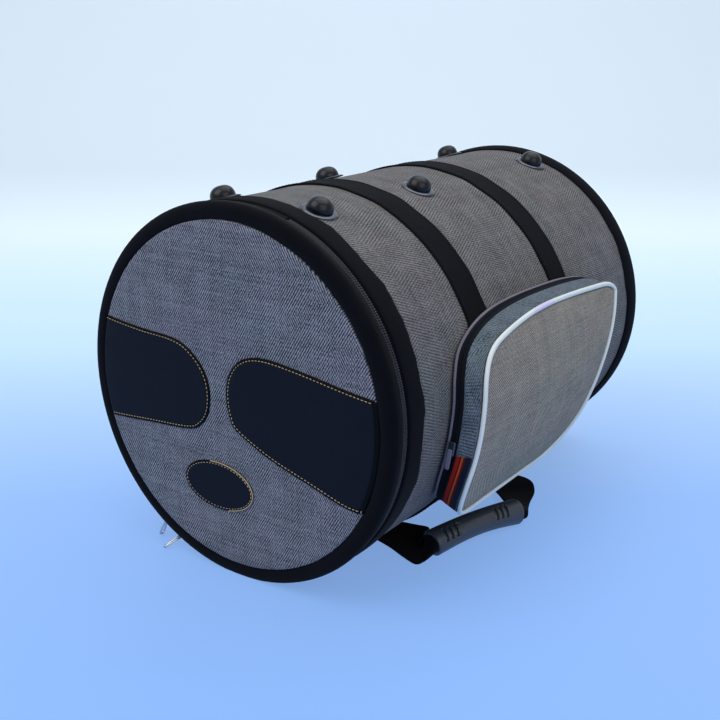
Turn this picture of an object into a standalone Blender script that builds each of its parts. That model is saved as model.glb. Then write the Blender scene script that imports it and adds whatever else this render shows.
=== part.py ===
"""A padded round bag for a goblet drum, lying on its side with its lid to the front (-Y).

The bag's axis runs along Y. The floor is Z = 0, the pocket is on +X, and the feet are on top.
Angles round the bag are counted from the top towards +X, in degrees.
"""

import math

import bmesh
import bpy
import numpy as np
from mathutils import Matrix, Vector

# Driving sizes of the bag, in metres
LENGTH = 0.466
BARREL_RADIUS = 0.159
REST_PRESS = 0.0004
SEAT_GAP = 0.0003
FABRIC = 0.0012
FOAM = 0.008
LINING = 0.0012
ROUND_STEPS = 48
FOOT_STEPS = 12

# Lid and its front face
FACE_SETBACK = 0.0115
LID_PROUD = 0.0020
LID_FOAM_SETBACK = 0.0090
LID_FOAM = 0.0080
FACE_CROWN = 0.0040
FACE_SHOULDER = 0.0095
LIP_THICKNESS = 0.0015
LID_BINDING_DEPTH = 0.0050
GUSSET_REACH = 0.0140
GUSSET_THICKNESS = 0.0022
PATCH_THICKNESS = 0.0014
PATCH_MARGIN = 0.0012

# Main zip
TAPE_THICKNESS = 0.0009
TAPE_WIDTH = 0.0080
TEETH_WIDTH = 0.0016
TEETH_HEIGHT = 0.0011
TEETH_OPENING = 0.0016
LID_GROOVE = 0.0020
HINGE_FACETS = 7
HINGE_OPENING = 0.0006

# Mouth of the barrel
MOUTH_BINDING_WIDTH = 0.0175
MOUTH_BINDING_PROUD = 0.0015
FOAM_SETBACK = 0.0052

# Base of the barrel
BASE_BINDING_PROUD = 0.0040
BASE_BINDING_WIDTH = 0.019
BASE_LIP = 0.008
BASE_CROWN = 0.0010

# Webbing bands round the barrel
BAND_WIDTH = 0.034
BAND_THICKNESS = 0.0015
BAND_FROM_LID = (0.1395, 0.2930)
BAND_SEAM_FACETS = 3

# Feet
FOOT_ROWS_FROM_LID = (0.0550, 0.2000)
LAST_FOOT_ROW_FROM_BASE = 0.0450
FOOT_ANGLE = 18.4
FOOT_RADIUS = 0.0108
FOOT_HEIGHT = 0.0105
FOOT_RIM_HEIGHT = 0.0034
FLANGE_RADIUS = 0.0142
FLANGE_THICKNESS = 0.0012
STEM_RADIUS = 0.0025
STEM_CLEARANCE = 0.0004
WASHER_RADIUS = 0.0095
WASHER_THICKNESS = 0.0011
WASHER_DEPTH = 0.0026

# Zip sliders and their pulls
SLIDER_PARK_ANGLES = (216.0, 206.5)
SLIDER_LENGTH = 0.0110
SLIDER_WIDTH = 0.0088
SLIDER_PLATE = 0.0012
SLIDER_BRIDGE = 0.0009
SLIDER_CLEARANCE = 0.0004
LUG_HEIGHT = 0.0045
LUG_BAR = 0.0013
LUG_OPENING = 0.0036
PULL_LENGTH = 0.0270
PULL_WIDE = 0.0100
PULL_NARROW = 0.0062
PULL_WIRE = 0.0016

# Pocket on the side
POCKET_FROM_LID = 0.0830
POCKET_WIDTH = 0.2720
POCKET_TOP_ANGLE = 70.0
POCKET_BOTTOM_ANGLE = 125.5
POCKET_HINGE_ANGLE = 124.2
POCKET_DEPTH = 0.0245
POCKET_WALL = 0.0020
POCKET_FRONT_CROWN = 0.0030
POCKET_PIPING = 0.0019
POCKET_SEAM_CORD = 0.0012
POCKET_ZIP_HALF = 0.0030
POCKET_ZIP_OPENING = 0.0006
POCKET_CORD_SIDES = 6
STRIPE_THICKNESS = 0.0009
STRIPE_POINTS = (34, 39)
POCKET_PARK_ANGLE = 100.0
POCKET_SLIDER_LENGTH = 0.0120
POCKET_SLIDER_WIDTH = 0.0060
POCKET_SLIDER_THICKNESS = 0.0022
POCKET_PULL_LENGTH = 0.0180
POCKET_PULL_WIDTH = 0.0040
POCKET_PULL_THICKNESS = 0.0012

# Handle on the floor beside the bag
HANDLE_PIVOT_X = 0.0420
WEBBING_WIDTH = 0.0370
WEBBING_THICKNESS = 0.0022
GRIP_RADIUS = 0.0122
GRIP_WALL = 0.0026
GRIP_WAIST = 0.0012
GRIP_START = (0.1182, 0.1238)
GRIP_END = (0.1494, 0.2250)
GRIP_ARCH = 0.0038
GRIP_SIDES = 16
SLOT_GROUP_SHARES = (0.16, 0.74)
SLOT_LENGTH = 0.0125
SLOT_WIDTH = 0.0026
SLOT_PITCH = 0.0062
SLOT_DEPTH = 0.0011
NEAR_LEG_SHARES = (0.75, 0.10)
NEAR_FOLD_SHARES = (0.55, 0.10, 0.10)
FAR_LEG_SHARE = 1.10
FAR_FOLD_SHARES = (0.85, 0.28, 1.00)
FOLD_TURN_SHARE = 0.35
FOLD_WIDTH_SHARE = 0.88
CORE_WIDTH = 0.0145
CORE_THICKNESS = 0.0060

# Places that follow from the sizes above
AXIS_HEIGHT = BARREL_RADIUS - REST_PRESS
LID_Y = -LENGTH / 2
BASE_Y = LENGTH / 2
FACE_RADIUS = BARREL_RADIUS - FACE_SETBACK
LID_RADIUS = BARREL_RADIUS + LID_PROUD
LID_FOAM_RADIUS = BARREL_RADIUS - LID_FOAM_SETBACK
BASE_BINDING_RADIUS = BARREL_RADIUS + BASE_BINDING_PROUD
SHELL_INNER = BARREL_RADIUS - FABRIC
FOAM_OUTER = SHELL_INNER - SEAT_GAP
FOAM_INNER = FOAM_OUTER - FOAM
LINING_OUTER = FOAM_INNER - SEAT_GAP
LINING_INNER = LINING_OUTER - LINING
GUSSET_END = LID_Y + GUSSET_REACH - LID_GROOVE
TEETH_FRONT = LID_Y + GUSSET_REACH + SEAT_GAP
ZIP_Y = TEETH_FRONT + TEETH_WIDTH + TEETH_OPENING / 2
TAPE_OUTER = FOAM_OUTER - SEAT_GAP - TAPE_THICKNESS / 2
TAPE_INNER = TAPE_OUTER - TAPE_THICKNESS
TEETH_INNER = TAPE_OUTER + SEAT_GAP
TEETH_OUTER = TEETH_INNER + TEETH_HEIGHT
BODY_TEETH_END = ZIP_Y + TEETH_OPENING / 2 + TEETH_WIDTH
MOUTH_Y = BODY_TEETH_END + SEAT_GAP
SHELL_START = MOUTH_Y + MOUTH_BINDING_WIDTH + SEAT_GAP
FOAM_START = MOUTH_Y + FOAM_SETBACK + TAPE_THICKNESS
BASE_BINDING_START = BASE_Y - BASE_BINDING_WIDTH
BAND_INNER = BARREL_RADIUS + SEAT_GAP
BAND_OUTER = BAND_INNER + BAND_THICKNESS
POCKET_FLOOR = BAND_OUTER + SEAT_GAP

COLLECTIONS = {}


def clear_scene():
    """Remove what the startup scene holds."""
    for obj in list(bpy.data.objects):
        bpy.data.objects.remove(obj, do_unlink=True)


def make_collections():
    """Collections for the bag's pieces, the cutters and the joints."""
    for key, name in (("bag", "darbuka_bag"), ("cutters", "cutters"), ("joints", "joints")):
        collection = bpy.data.collections.new(name)
        bpy.context.scene.collection.children.link(collection)
        COLLECTIONS[key] = collection


def make_material(name, colour, roughness, metallic):
    """A plain Principled finish."""
    material = bpy.data.materials.new(name)
    material.use_nodes = True
    shader = material.node_tree.nodes["Principled BSDF"]
    shader.inputs["Base Color"].default_value = (*colour, 1.0)
    shader.inputs["Roughness"].default_value = roughness
    shader.inputs["Metallic"].default_value = metallic
    return material


FINISHES = {
    "grey_fabric": ((0.23, 0.22, 0.21), 0.90, 0.0),
    "black_webbing": ((0.012, 0.012, 0.014), 0.85, 0.0),
    "black_vinyl": ((0.012, 0.016, 0.015), 0.55, 0.0),
    "black_nylon": ((0.010, 0.010, 0.011), 0.60, 0.0),
    "foam": ((0.10, 0.10, 0.11), 0.95, 0.0),
    "lining": ((0.02, 0.02, 0.025), 0.80, 0.0),
    "leather": ((0.012, 0.014, 0.022), 0.50, 0.0),
    "nickel": ((0.62, 0.62, 0.64), 0.28, 1.0),
    "gloss_black": ((0.008, 0.008, 0.010), 0.12, 0.0),
    "white_piping": ((0.70, 0.74, 0.70), 0.55, 0.0),
    "grey_cord": ((0.22, 0.21, 0.25), 0.70, 0.0),
    "blue_grey_fabric": ((0.13, 0.17, 0.20), 0.90, 0.0),
    "striped_webbing": ((0.40, 0.03, 0.02), 0.75, 0.0),
    "moulded_black": ((0.030, 0.032, 0.036), 0.45, 0.0),
}


def on_bag(radius, angle, y):
    """The point at this radius and angle round the bag's axis."""
    turn = math.radians(angle)
    return Vector((radius * math.sin(turn), y, AXIS_HEIGHT + radius * math.cos(turn)))


def add_piece(name, mesh, finish, pressed=False):
    """Put a mesh in the scene as a piece, pressed flat where it would pass through the floor."""
    shape = bmesh.new()
    shape.from_mesh(mesh)
    bmesh.ops.recalc_face_normals(shape, faces=shape.faces)
    if pressed:
        for vertex in shape.verts:
            vertex.co.z = max(vertex.co.z, 0.0)
    shape.to_mesh(mesh)
    shape.free()
    mesh.name = name
    mesh.shade_smooth()
    mesh.set_sharp_from_angle(angle=math.radians(35))
    piece = bpy.data.objects.new(name, mesh)
    piece.data.materials.clear()
    settings = FINISHES[finish]
    if name not in bpy.data.materials:
        make_material(name, *settings)
    piece.data.materials.append(bpy.data.materials[name])
    COLLECTIONS["bag"].objects.link(piece)
    return piece


def baked(obj):
    """The mesh of an object after its modifiers, and the object removed."""
    graph = bpy.context.evaluated_depsgraph_get()
    mesh = bpy.data.meshes.new_from_object(obj.evaluated_get(graph))
    mesh.transform(obj.matrix_world)
    bpy.data.objects.remove(obj, do_unlink=True)
    shape = bmesh.new()
    shape.from_mesh(mesh)
    bmesh.ops.remove_doubles(shape, verts=shape.verts, dist=SEAT_GAP / 100)
    shape.to_mesh(mesh)
    shape.free()
    return mesh


def turned_mesh(profile, steps, ring=True):
    """A profile of (radius, height) turned about its height axis, which is Z here."""
    count = len(profile)
    edges = [(i, i + 1) for i in range(count - 1)]
    if ring:
        edges.append((count - 1, 0))
    outline = bpy.data.meshes.new("profile")
    outline.from_pydata([(radius, 0, height) for radius, height in profile], edges, [])
    spun = bpy.data.objects.new("profile", outline)
    bpy.context.scene.collection.objects.link(spun)
    screw = spun.modifiers.new("Turn", "SCREW")
    screw.steps = steps
    screw.render_steps = steps
    screw.use_merge_vertices = True
    screw.merge_threshold = 0.00001
    bpy.context.view_layer.update()
    return baked(spun)


def ring_round_bag(name, profile, finish, ring=True, pressed=False):
    """A profile of (radius, y) turned about the bag's axis, with a facet flat on the floor."""
    mesh = turned_mesh(profile, ROUND_STEPS, ring)
    half_step = math.pi / ROUND_STEPS
    lay_down = Matrix.Translation((0, 0, AXIS_HEIGHT)) @ Matrix.Rotation(-math.pi / 2, 4, "X")
    mesh.transform(lay_down @ Matrix.Rotation(half_step, 4, "Z"))
    return add_piece(name, mesh, finish, pressed)


def swept_mesh(sections, closed):
    """A skin over a row of sections with equal point counts, capped at its ends if it is open."""
    shape = bmesh.new()
    rows = [[shape.verts.new(point) for point in section] for section in sections]
    pairs = list(zip(rows, rows[1:]))
    if closed:
        pairs.append((rows[-1], rows[0]))
    for first, second in pairs:
        for i in range(len(first)):
            j = (i + 1) % len(first)
            shape.faces.new((first[i], first[j], second[j], second[i]))
    if not closed:
        shape.faces.new(rows[0])
        shape.faces.new(rows[-1])
    mesh = bpy.data.meshes.new("sweep")
    shape.to_mesh(mesh)
    shape.free()
    return mesh


def arc_round_bag(name, radii, ys, start, facets, finish, pressed=False):
    """A flat strip wrapped part of the way round the bag, on the same facets as the full rings."""
    (inner, outer), (front, back) = radii, ys
    sections = []
    for step in range(facets + 1):
        angle = (start + step) * 360 / ROUND_STEPS
        corners = ((inner, front), (outer, front), (outer, back), (inner, back))
        sections.append([on_bag(radius, angle, y) for radius, y in corners])
    return add_piece(name, swept_mesh(sections, closed=False), finish, pressed)


def make_barrel():
    """The barrel's three layers: outer fabric, foam and lining."""
    shell = ((SHELL_INNER, SHELL_START), (BARREL_RADIUS, SHELL_START),
             (BARREL_RADIUS, BASE_BINDING_START - SEAT_GAP), (SHELL_INNER, BASE_BINDING_START - SEAT_GAP))
    ring_round_bag("barrel_shell", shell, "grey_fabric", pressed=True)
    foam_end = BASE_Y - LIP_THICKNESS - SEAT_GAP - FABRIC - SEAT_GAP
    step_radius = TAPE_INNER - SEAT_GAP
    foam = ((FOAM_INNER, FOAM_START), (step_radius, FOAM_START), (step_radius, SHELL_START),
            (FOAM_OUTER, SHELL_START), (FOAM_OUTER, foam_end), (FOAM_INNER, foam_end))
    ring_round_bag("barrel_foam", foam, "foam")
    lining_end = foam_end - FOAM - SEAT_GAP
    collar_front = FOAM_START - SEAT_GAP - LINING
    lining = ((LINING_INNER, collar_front), (step_radius, collar_front), (step_radius, collar_front + LINING),
              (LINING_OUTER, collar_front + LINING), (LINING_OUTER, lining_end), (LINING_INNER, lining_end))
    ring_round_bag("barrel_lining", lining, "lining")


def make_base():
    """The closed end: outer panel, foam disc, lining disc and the binding round them."""
    panel_back = BASE_Y - LIP_THICKNESS - SEAT_GAP
    panel_front = panel_back - FABRIC
    panel_radius = FOAM_OUTER - SEAT_GAP
    flat_radius = BASE_BINDING_RADIUS - BASE_LIP - FACE_SHOULDER
    crown = panel_back + BASE_CROWN
    panel = ((0, panel_front), (panel_radius, panel_front), (panel_radius, panel_back),
             (panel_radius - BASE_LIP, panel_back), (flat_radius, crown), (0, crown))
    ring_round_bag("base_panel", panel, "grey_fabric", ring=False)
    foam_back = panel_front - SEAT_GAP
    foam_radius = FOAM_INNER - SEAT_GAP
    foam = ((0, foam_back - FOAM), (foam_radius, foam_back - FOAM), (foam_radius, foam_back), (0, foam_back))
    ring_round_bag("base_foam", foam, "foam", ring=False)
    lining_back = foam_back - FOAM - SEAT_GAP
    lining_radius = LINING_INNER - SEAT_GAP
    lining = ((0, lining_back - LINING), (lining_radius, lining_back - LINING),
              (lining_radius, lining_back), (0, lining_back))
    ring_round_bag("base_lining", lining, "lining", ring=False)
    start = BASE_BINDING_START
    corner = BASE_BINDING_RADIUS - BARREL_RADIUS
    lip_front = BASE_Y - LIP_THICKNESS
    binding = ((SHELL_INNER, start), (BARREL_RADIUS, start), (BASE_BINDING_RADIUS, start + corner),
               (BASE_BINDING_RADIUS, BASE_Y - corner), (BARREL_RADIUS, BASE_Y),
               (BASE_BINDING_RADIUS - BASE_LIP, BASE_Y), (BASE_BINDING_RADIUS - BASE_LIP, lip_front),
               (SHELL_INNER, lip_front))
    ring_round_bag("base_binding", binding, "black_webbing", pressed=True)


def make_mouth():
    """The binding round the barrel's open end, and the barrel's half of the zip."""
    outer = BARREL_RADIUS + MOUTH_BINDING_PROUD
    inner = TAPE_OUTER + SEAT_GAP
    bevel = MOUTH_BINDING_PROUD / 2
    end = MOUTH_Y + MOUTH_BINDING_WIDTH
    binding = ((inner, MOUTH_Y), (outer - bevel, MOUTH_Y), (outer, MOUTH_Y + bevel),
               (outer, end - bevel), (outer - bevel, end), (SHELL_INNER, end), (inner, end))
    ring_round_bag("mouth_binding", binding, "black_webbing", pressed=True)
    start, facets = HINGE_FACETS / 2, ROUND_STEPS - HINGE_FACETS
    front = ZIP_Y + TEETH_OPENING / 2
    arc_round_bag("zip_tape_barrel", (TAPE_INNER, TAPE_OUTER), (front, front + TAPE_WIDTH),
                  start, facets, "black_nylon")
    arc_round_bag("zip_teeth_barrel", (TEETH_INNER, TEETH_OUTER), (front, front + TEETH_WIDTH),
                  start, facets, "black_nylon")


def make_hinge():
    """The fabric hinge at the top, in two halves that meet on the hinge line."""
    facets = HINGE_FACETS - 2
    start = -facets / 2
    radii = (TEETH_INNER, BARREL_RADIUS)
    lid_ys = (GUSSET_END + SEAT_GAP, ZIP_Y - HINGE_OPENING / 2)
    barrel_ys = (ZIP_Y + HINGE_OPENING / 2, BODY_TEETH_END)
    arc_round_bag("hinge_web_lid", radii, lid_ys, start, facets, "black_webbing")
    arc_round_bag("hinge_web_barrel", radii, barrel_ys, start, facets, "black_webbing")


def make_lid():
    """The lid: domed face, foam, lining, rim binding, gusset and the lid's half of the zip."""
    rim = LID_Y + SEAT_GAP
    shoulder = FACE_RADIUS - SEAT_GAP
    plateau = shoulder - FACE_SHOULDER
    face = ((0, LID_Y - FACE_CROWN), (plateau, LID_Y - FACE_CROWN), (shoulder - FACE_SHOULDER / 4, LID_Y - FACE_CROWN / 2),
            (shoulder, rim), (LID_FOAM_RADIUS, rim), (LID_FOAM_RADIUS, rim + FABRIC),
            (shoulder, rim + FABRIC), (plateau, LID_Y - FACE_CROWN + FABRIC), (0, LID_Y - FACE_CROWN + FABRIC))
    ring_round_bag("lid_panel", face, "grey_fabric", ring=False)
    foam_rim = rim + FABRIC + SEAT_GAP
    foam_front = LID_Y - FACE_CROWN + FABRIC + SEAT_GAP
    foam_back = foam_rim + LID_FOAM
    foam = ((0, foam_front), (plateau - SEAT_GAP, foam_front), (shoulder, foam_rim), (LID_FOAM_RADIUS, foam_rim),
            (LID_FOAM_RADIUS, foam_back), (0, foam_back))
    ring_round_bag("lid_foam", foam, "foam", ring=False)
    lining = ((0, foam_back + SEAT_GAP), (LID_FOAM_RADIUS, foam_back + SEAT_GAP),
              (LID_FOAM_RADIUS, foam_back + SEAT_GAP + LINING), (0, foam_back + SEAT_GAP + LINING))
    ring_round_bag("lid_lining", lining, "lining", ring=False)
    make_lid_rim()


def make_lid_rim():
    """The lid's rim binding, its gusset and its half of the zip."""
    seat = LID_FOAM_RADIUS + SEAT_GAP
    bevel = LIP_THICKNESS * 2
    binding = ((FACE_RADIUS, LID_Y), (FACE_RADIUS, LID_Y - LIP_THICKNESS), (LID_RADIUS - bevel, LID_Y - LIP_THICKNESS),
               (LID_RADIUS, LID_Y + LIP_THICKNESS), (LID_RADIUS, LID_Y + LID_BINDING_DEPTH),
               (seat, LID_Y + LID_BINDING_DEPTH), (seat, LID_Y))
    ring_round_bag("lid_binding", binding, "black_webbing", pressed=True)
    gusset_inner = TAPE_OUTER + SEAT_GAP
    gusset_front = LID_Y + LID_BINDING_DEPTH + SEAT_GAP
    gusset_outer = gusset_inner + GUSSET_THICKNESS
    gusset = ((gusset_inner, gusset_front), (gusset_outer, gusset_front),
              (gusset_outer, GUSSET_END), (gusset_inner, GUSSET_END))
    ring_round_bag("lid_gusset", gusset, "black_vinyl", pressed=True)
    start, facets = HINGE_FACETS / 2, ROUND_STEPS - HINGE_FACETS
    back = TEETH_FRONT + TEETH_WIDTH
    arc_round_bag("zip_tape_lid", (TAPE_INNER, TAPE_OUTER), (back - TAPE_WIDTH, back),
                  start, facets, "black_nylon")
    arc_round_bag("zip_teeth_lid", (TEETH_INNER, TEETH_OUTER), (TEETH_FRONT, back),
                  start, facets, "black_nylon")


# Patches on the lid: corners as shares of the face's radius, x and height from the axis.
# Each starts and ends on the rim, and its rim side is an arc.
LEFT_PATCH_SHARES = ((-0.880, 0.335), (-0.650, 0.312), (-0.390, 0.295), (-0.260, 0.240), (-0.165, 0.140),
                     (-0.130, 0.020), (-0.150, -0.110), (-0.225, -0.200), (-0.330, -0.235),
                     (-0.620, -0.258), (-0.880, -0.280))
RIGHT_PATCH_SHARES = ((0.940, 0.205), (0.780, 0.228), (0.510, 0.270), (0.300, 0.292), (0.170, 0.280),
                      (0.072, 0.228), (0.012, 0.140), (-0.008, 0.035), (0.008, -0.080),
                      (0.060, -0.165), (0.290, -0.275), (0.575, -0.362), (0.780, -0.425), (0.880, -0.440))
OVAL_CENTRE_SHARE = (-0.092, -0.530)
OVAL_HALF_SHARE = (0.258, 0.146)
OVAL_STEPS = 24
RIM_STEPS = 6


def patch(name, outline):
    """A flat patch cut to an outline in the lid's own plane, seated on the face."""
    curve = bpy.data.curves.new(name, "CURVE")
    curve.dimensions = "2D"
    curve.fill_mode = "BOTH"
    curve.extrude = PATCH_THICKNESS / 2
    spline = curve.splines.new("POLY")
    spline.points.add(len(outline) - 1)
    for point, (x, height) in zip(spline.points, outline):
        point.co = (x, height, 0, 1)
    spline.use_cyclic_u = True
    flat = bpy.data.objects.new(name, curve)
    COLLECTIONS["bag"].objects.link(flat)
    face_y = LID_Y - FACE_CROWN - SEAT_GAP - PATCH_THICKNESS / 2
    flat.matrix_world = Matrix.Translation((0, face_y, AXIS_HEIGHT)) @ Matrix.Rotation(math.pi / 2, 4, "X")
    bpy.context.view_layer.update()
    return add_piece(name, baked(flat), "leather")


def make_patches():
    """The two big leather patches and the small oval one below them."""
    reach = FACE_RADIUS - SEAT_GAP - FACE_SHOULDER - PATCH_MARGIN
    for name, shares in (("patch_left", LEFT_PATCH_SHARES), ("patch_right", RIGHT_PATCH_SHARES)):
        outline = [Vector(share) * FACE_RADIUS for share in shares[1:-1]]
        last = Vector(shares[-1]).normalized() * reach
        first = Vector(shares[0]).normalized() * reach
        sweep = last.angle_signed(first)
        for step in range(RIM_STEPS + 1):
            turn = Matrix.Rotation(-sweep * step / RIM_STEPS, 2)
            outline.append(turn @ last)
        patch(name, outline)
    oval = []
    for i in range(OVAL_STEPS):
        turn = i * math.tau / OVAL_STEPS
        x_share = OVAL_CENTRE_SHARE[0] + OVAL_HALF_SHARE[0] * math.cos(turn)
        height_share = OVAL_CENTRE_SHARE[1] + OVAL_HALF_SHARE[1] * math.sin(turn)
        oval.append((x_share * FACE_RADIUS, height_share * FACE_RADIUS))
    patch("patch_oval", oval)


def make_bands():
    """The two webbing bands, which end either side of the seam under the bag."""
    facets = ROUND_STEPS - BAND_SEAM_FACETS
    for name, from_lid in zip(("band_front", "band_rear"), BAND_FROM_LID):
        middle = LID_Y + from_lid
        arc_round_bag(name, (BAND_INNER, BAND_OUTER), (middle - BAND_WIDTH / 2, middle + BAND_WIDTH / 2),
                      -facets / 2, facets, "black_webbing")


def foot_frame(from_lid, angle):
    """Where a foot stands: its own Z points out of the barrel, from the barrel's axis."""
    return Matrix.Translation((0, LID_Y + from_lid, AXIS_HEIGHT)) @ Matrix.Rotation(math.radians(angle), 4, "Y")


def make_feet():
    """Six domed feet, each with a flange under it and a washer behind the foam."""
    flange_low = BARREL_RADIUS + SEAT_GAP
    flange_high = flange_low + FLANGE_THICKNESS
    dome_low = flange_high + SEAT_GAP
    washer_high = FOAM_INNER + WASHER_DEPTH
    stem_low = washer_high - WASHER_THICKNESS - SEAT_GAP
    hole = STEM_RADIUS + STEM_CLEARANCE
    top = dome_low + FOOT_HEIGHT
    dome = [(0, stem_low), (STEM_RADIUS, stem_low), (STEM_RADIUS, dome_low), (FOOT_RADIUS, dome_low)]
    rim = dome_low + FOOT_RIM_HEIGHT
    for turn in np.radians(np.linspace(0, 70, 4)):
        dome.append((FOOT_RADIUS * math.cos(turn), rim + (top - rim) * math.sin(turn)))
    dome.append((0, top))
    flange = ((hole, flange_low), (FLANGE_RADIUS, flange_low), (FLANGE_RADIUS - FLANGE_THICKNESS / 2, flange_high),
              (hole, flange_high))
    washer = ((hole, washer_high - WASHER_THICKNESS), (WASHER_RADIUS, washer_high - WASHER_THICKNESS),
              (WASHER_RADIUS, washer_high), (hole, washer_high))
    recess = WASHER_RADIUS + STEM_CLEARANCE
    cutter = ((0, LINING_INNER), (recess, LINING_INNER), (recess, washer_high + SEAT_GAP),
              (hole, washer_high + SEAT_GAP), (hole, flange_low), (0, flange_low))
    number = 0
    for from_lid in (*FOOT_ROWS_FROM_LID, LENGTH - LAST_FOOT_ROW_FROM_BASE):
        for angle in (-FOOT_ANGLE, FOOT_ANGLE):
            number += 1
            frame = foot_frame(from_lid, angle)
            pieces = (("foot", dome, False, "gloss_black"), ("foot_flange", flange, True, "nickel"),
                      ("foot_washer", washer, True, "nickel"))
            for kind, profile, ring, finish in pieces:
                piece = add_piece(f"{kind}_{number}", turned_mesh(profile, FOOT_STEPS, ring), finish)
                piece.matrix_world = frame
            cut_stem_hole(f"stem_cutter_{number}", cutter, frame)


def cut_stem_hole(name, profile, frame):
    """Cut one foot's stem hole, and the washer's recess, out of the fabric and the foam."""
    tool = bpy.data.objects.new(name, turned_mesh(profile, FOOT_STEPS, ring=False))
    COLLECTIONS["cutters"].objects.link(tool)
    shape = bmesh.new()
    shape.from_mesh(tool.data)
    bmesh.ops.recalc_face_normals(shape, faces=shape.faces)
    shape.to_mesh(tool.data)
    shape.free()
    tool.matrix_world = frame
    tool.hide_render = True
    tool.display_type = "WIRE"
    for layer in ("barrel_shell", "barrel_foam"):
        cut = bpy.data.objects[layer].modifiers.new(name, "BOOLEAN")
        cut.operation = "DIFFERENCE"
        cut.object = tool


def box_sections(centre, along, across, up, half_length, half_width, half_height, corner):
    """Sections of a bar with chamfered ends, for swept_mesh."""
    sections = []
    for share, shrink in ((-1, corner), (-1 + corner / half_length, 0), (1 - corner / half_length, 0), (1, corner)):
        middle = centre + along * half_length * share
        width, height = half_width - shrink, half_height - min(shrink, half_height / 3)
        sections.append([middle + across * width + up * height, middle - across * width + up * height,
                         middle - across * width - up * height, middle + across * width - up * height])
    return sections


def unite(name, meshes, finish):
    """One piece from several overlapping meshes, by exact unions."""
    base = bpy.data.objects.new("base", meshes[0])
    COLLECTIONS["bag"].objects.link(base)
    tools = []
    for mesh in meshes:
        shape = bmesh.new()
        shape.from_mesh(mesh)
        bmesh.ops.recalc_face_normals(shape, faces=shape.faces)
        shape.to_mesh(mesh)
        shape.free()
    for mesh in meshes[1:]:
        tool = bpy.data.objects.new("tool", mesh)
        COLLECTIONS["cutters"].objects.link(tool)
        join = base.modifiers.new("Join", "BOOLEAN")
        join.operation = "UNION"
        join.object = tool
        tools.append(tool)
    bpy.context.view_layer.update()
    mesh = baked(base)
    for tool in tools:
        bpy.data.objects.remove(tool, do_unlink=True)
    return add_piece(name, mesh, finish)


def slider_meshes():
    """Two plates, the bridge between them and the lug on top, in the slider's own frame.

    Its Z points out of the bag from the bag's axis, its X along the zip.
    """
    x, y, z = Vector((1, 0, 0)), Vector((0, 1, 0)), Vector((0, 0, 1))
    half = SLIDER_PLATE / 2
    outer = BARREL_RADIUS + MOUTH_BINDING_PROUD + SLIDER_CLEARANCE + half
    inner = TAPE_INNER - SLIDER_CLEARANCE - half
    corner = SLIDER_PLATE
    meshes = []
    for height in (outer, inner):
        sections = box_sections(z * height, x, y, z, SLIDER_LENGTH / 2, SLIDER_WIDTH / 2, half, corner)
        meshes.append(swept_mesh(sections, closed=False))
    middle = (outer + inner) / 2
    bridge = box_sections(z * middle, x, y, z, SLIDER_LENGTH / 4, SLIDER_BRIDGE / 2, (outer - inner) / 2, SLIDER_BRIDGE / 3)
    meshes.append(swept_mesh(bridge, closed=False))
    meshes.append(lug_mesh(outer + half))
    return meshes


def lug_mesh(base):
    """The lug: an arch along the zip over the outer plate, which the pull's crossbar passes through."""
    low = base - SLIDER_PLATE / 2
    high = base + LUG_HEIGHT
    inside = LUG_OPENING / 2
    span = inside + LUG_BAR
    outer = ((-span, low), (-span, high - LUG_BAR), (-inside, high), (inside, high), (span, high - LUG_BAR), (span, low))
    under = high - LUG_BAR
    inner = ((-inside, low), (-inside, under - LUG_BAR / 2), (-inside / 2, under), (inside / 2, under),
             (inside, under - LUG_BAR / 2), (inside, low))
    sections = []
    for (outer_x, outer_z), (inner_x, inner_z) in zip(outer, inner):
        sections.append([Vector((outer_x, -LUG_BAR / 2, outer_z)), Vector((outer_x, LUG_BAR / 2, outer_z)),
                         Vector((inner_x, LUG_BAR / 2, inner_z)), Vector((inner_x, -LUG_BAR / 2, inner_z))])
    return swept_mesh(sections, closed=False)


def lug_pivot_radius():
    """How far the middle of the lug's opening is from the bag's axis."""
    plate_top = BARREL_RADIUS + MOUTH_BINDING_PROUD + SLIDER_CLEARANCE + SLIDER_PLATE
    return plate_top + (LUG_HEIGHT - LUG_BAR) / 2


def flat_ring_mesh(outer, inner, thickness):
    """A flat closed ring from an outer and an inner outline of (across, along) points."""
    sections = []
    for (u, v), (s, t) in zip(outer, inner):
        sections.append([Vector((thickness / 2, u, v)), Vector((-thickness / 2, u, v)),
                         Vector((-thickness / 2, s, t)), Vector((thickness / 2, s, t))])
    return swept_mesh(sections, closed=True)


def pull_outline(inset):
    """The pull's A-shaped outline, hanging from the middle of its crossbar at (0, 0)."""
    narrow, wide = PULL_NARROW / 2 - inset, PULL_WIDE / 2 - inset
    top, foot = PULL_WIRE / 2 - inset, -PULL_LENGTH + inset
    turn = PULL_WIDE / 3
    return ((narrow, top - PULL_WIRE / 3), (narrow / 2, top), (-narrow / 2, top), (-narrow, top - PULL_WIRE / 3),
            (-wide, foot + turn), (-wide / 2, foot), (wide / 2, foot), (wide, foot + turn))


def make_sliders():
    """The two zip sliders at the lower left, and the pull hanging from each with its foot on the floor."""
    for side, angle in zip(("left", "right"), SLIDER_PARK_ANGLES):
        frame = Matrix.Translation((0, ZIP_Y, AXIS_HEIGHT)) @ Matrix.Rotation(math.radians(angle), 4, "Y")
        slider = unite(f"slider_{side}", slider_meshes(), "nickel")
        slider.matrix_world = frame
        pivot = on_bag(lug_pivot_radius(), angle, ZIP_Y)
        mesh = flat_ring_mesh(pull_outline(0), pull_outline(PULL_WIRE), PULL_WIRE)
        pull = add_piece(f"pull_{side}", mesh, "nickel")
        reach = (pivot.z - PULL_WIRE / 2) / PULL_LENGTH
        lean = math.acos(min(max(reach, 0), 1))
        pull.matrix_world = Matrix.Translation(pivot) @ Matrix.Rotation(lean, 4, "Y")


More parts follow.
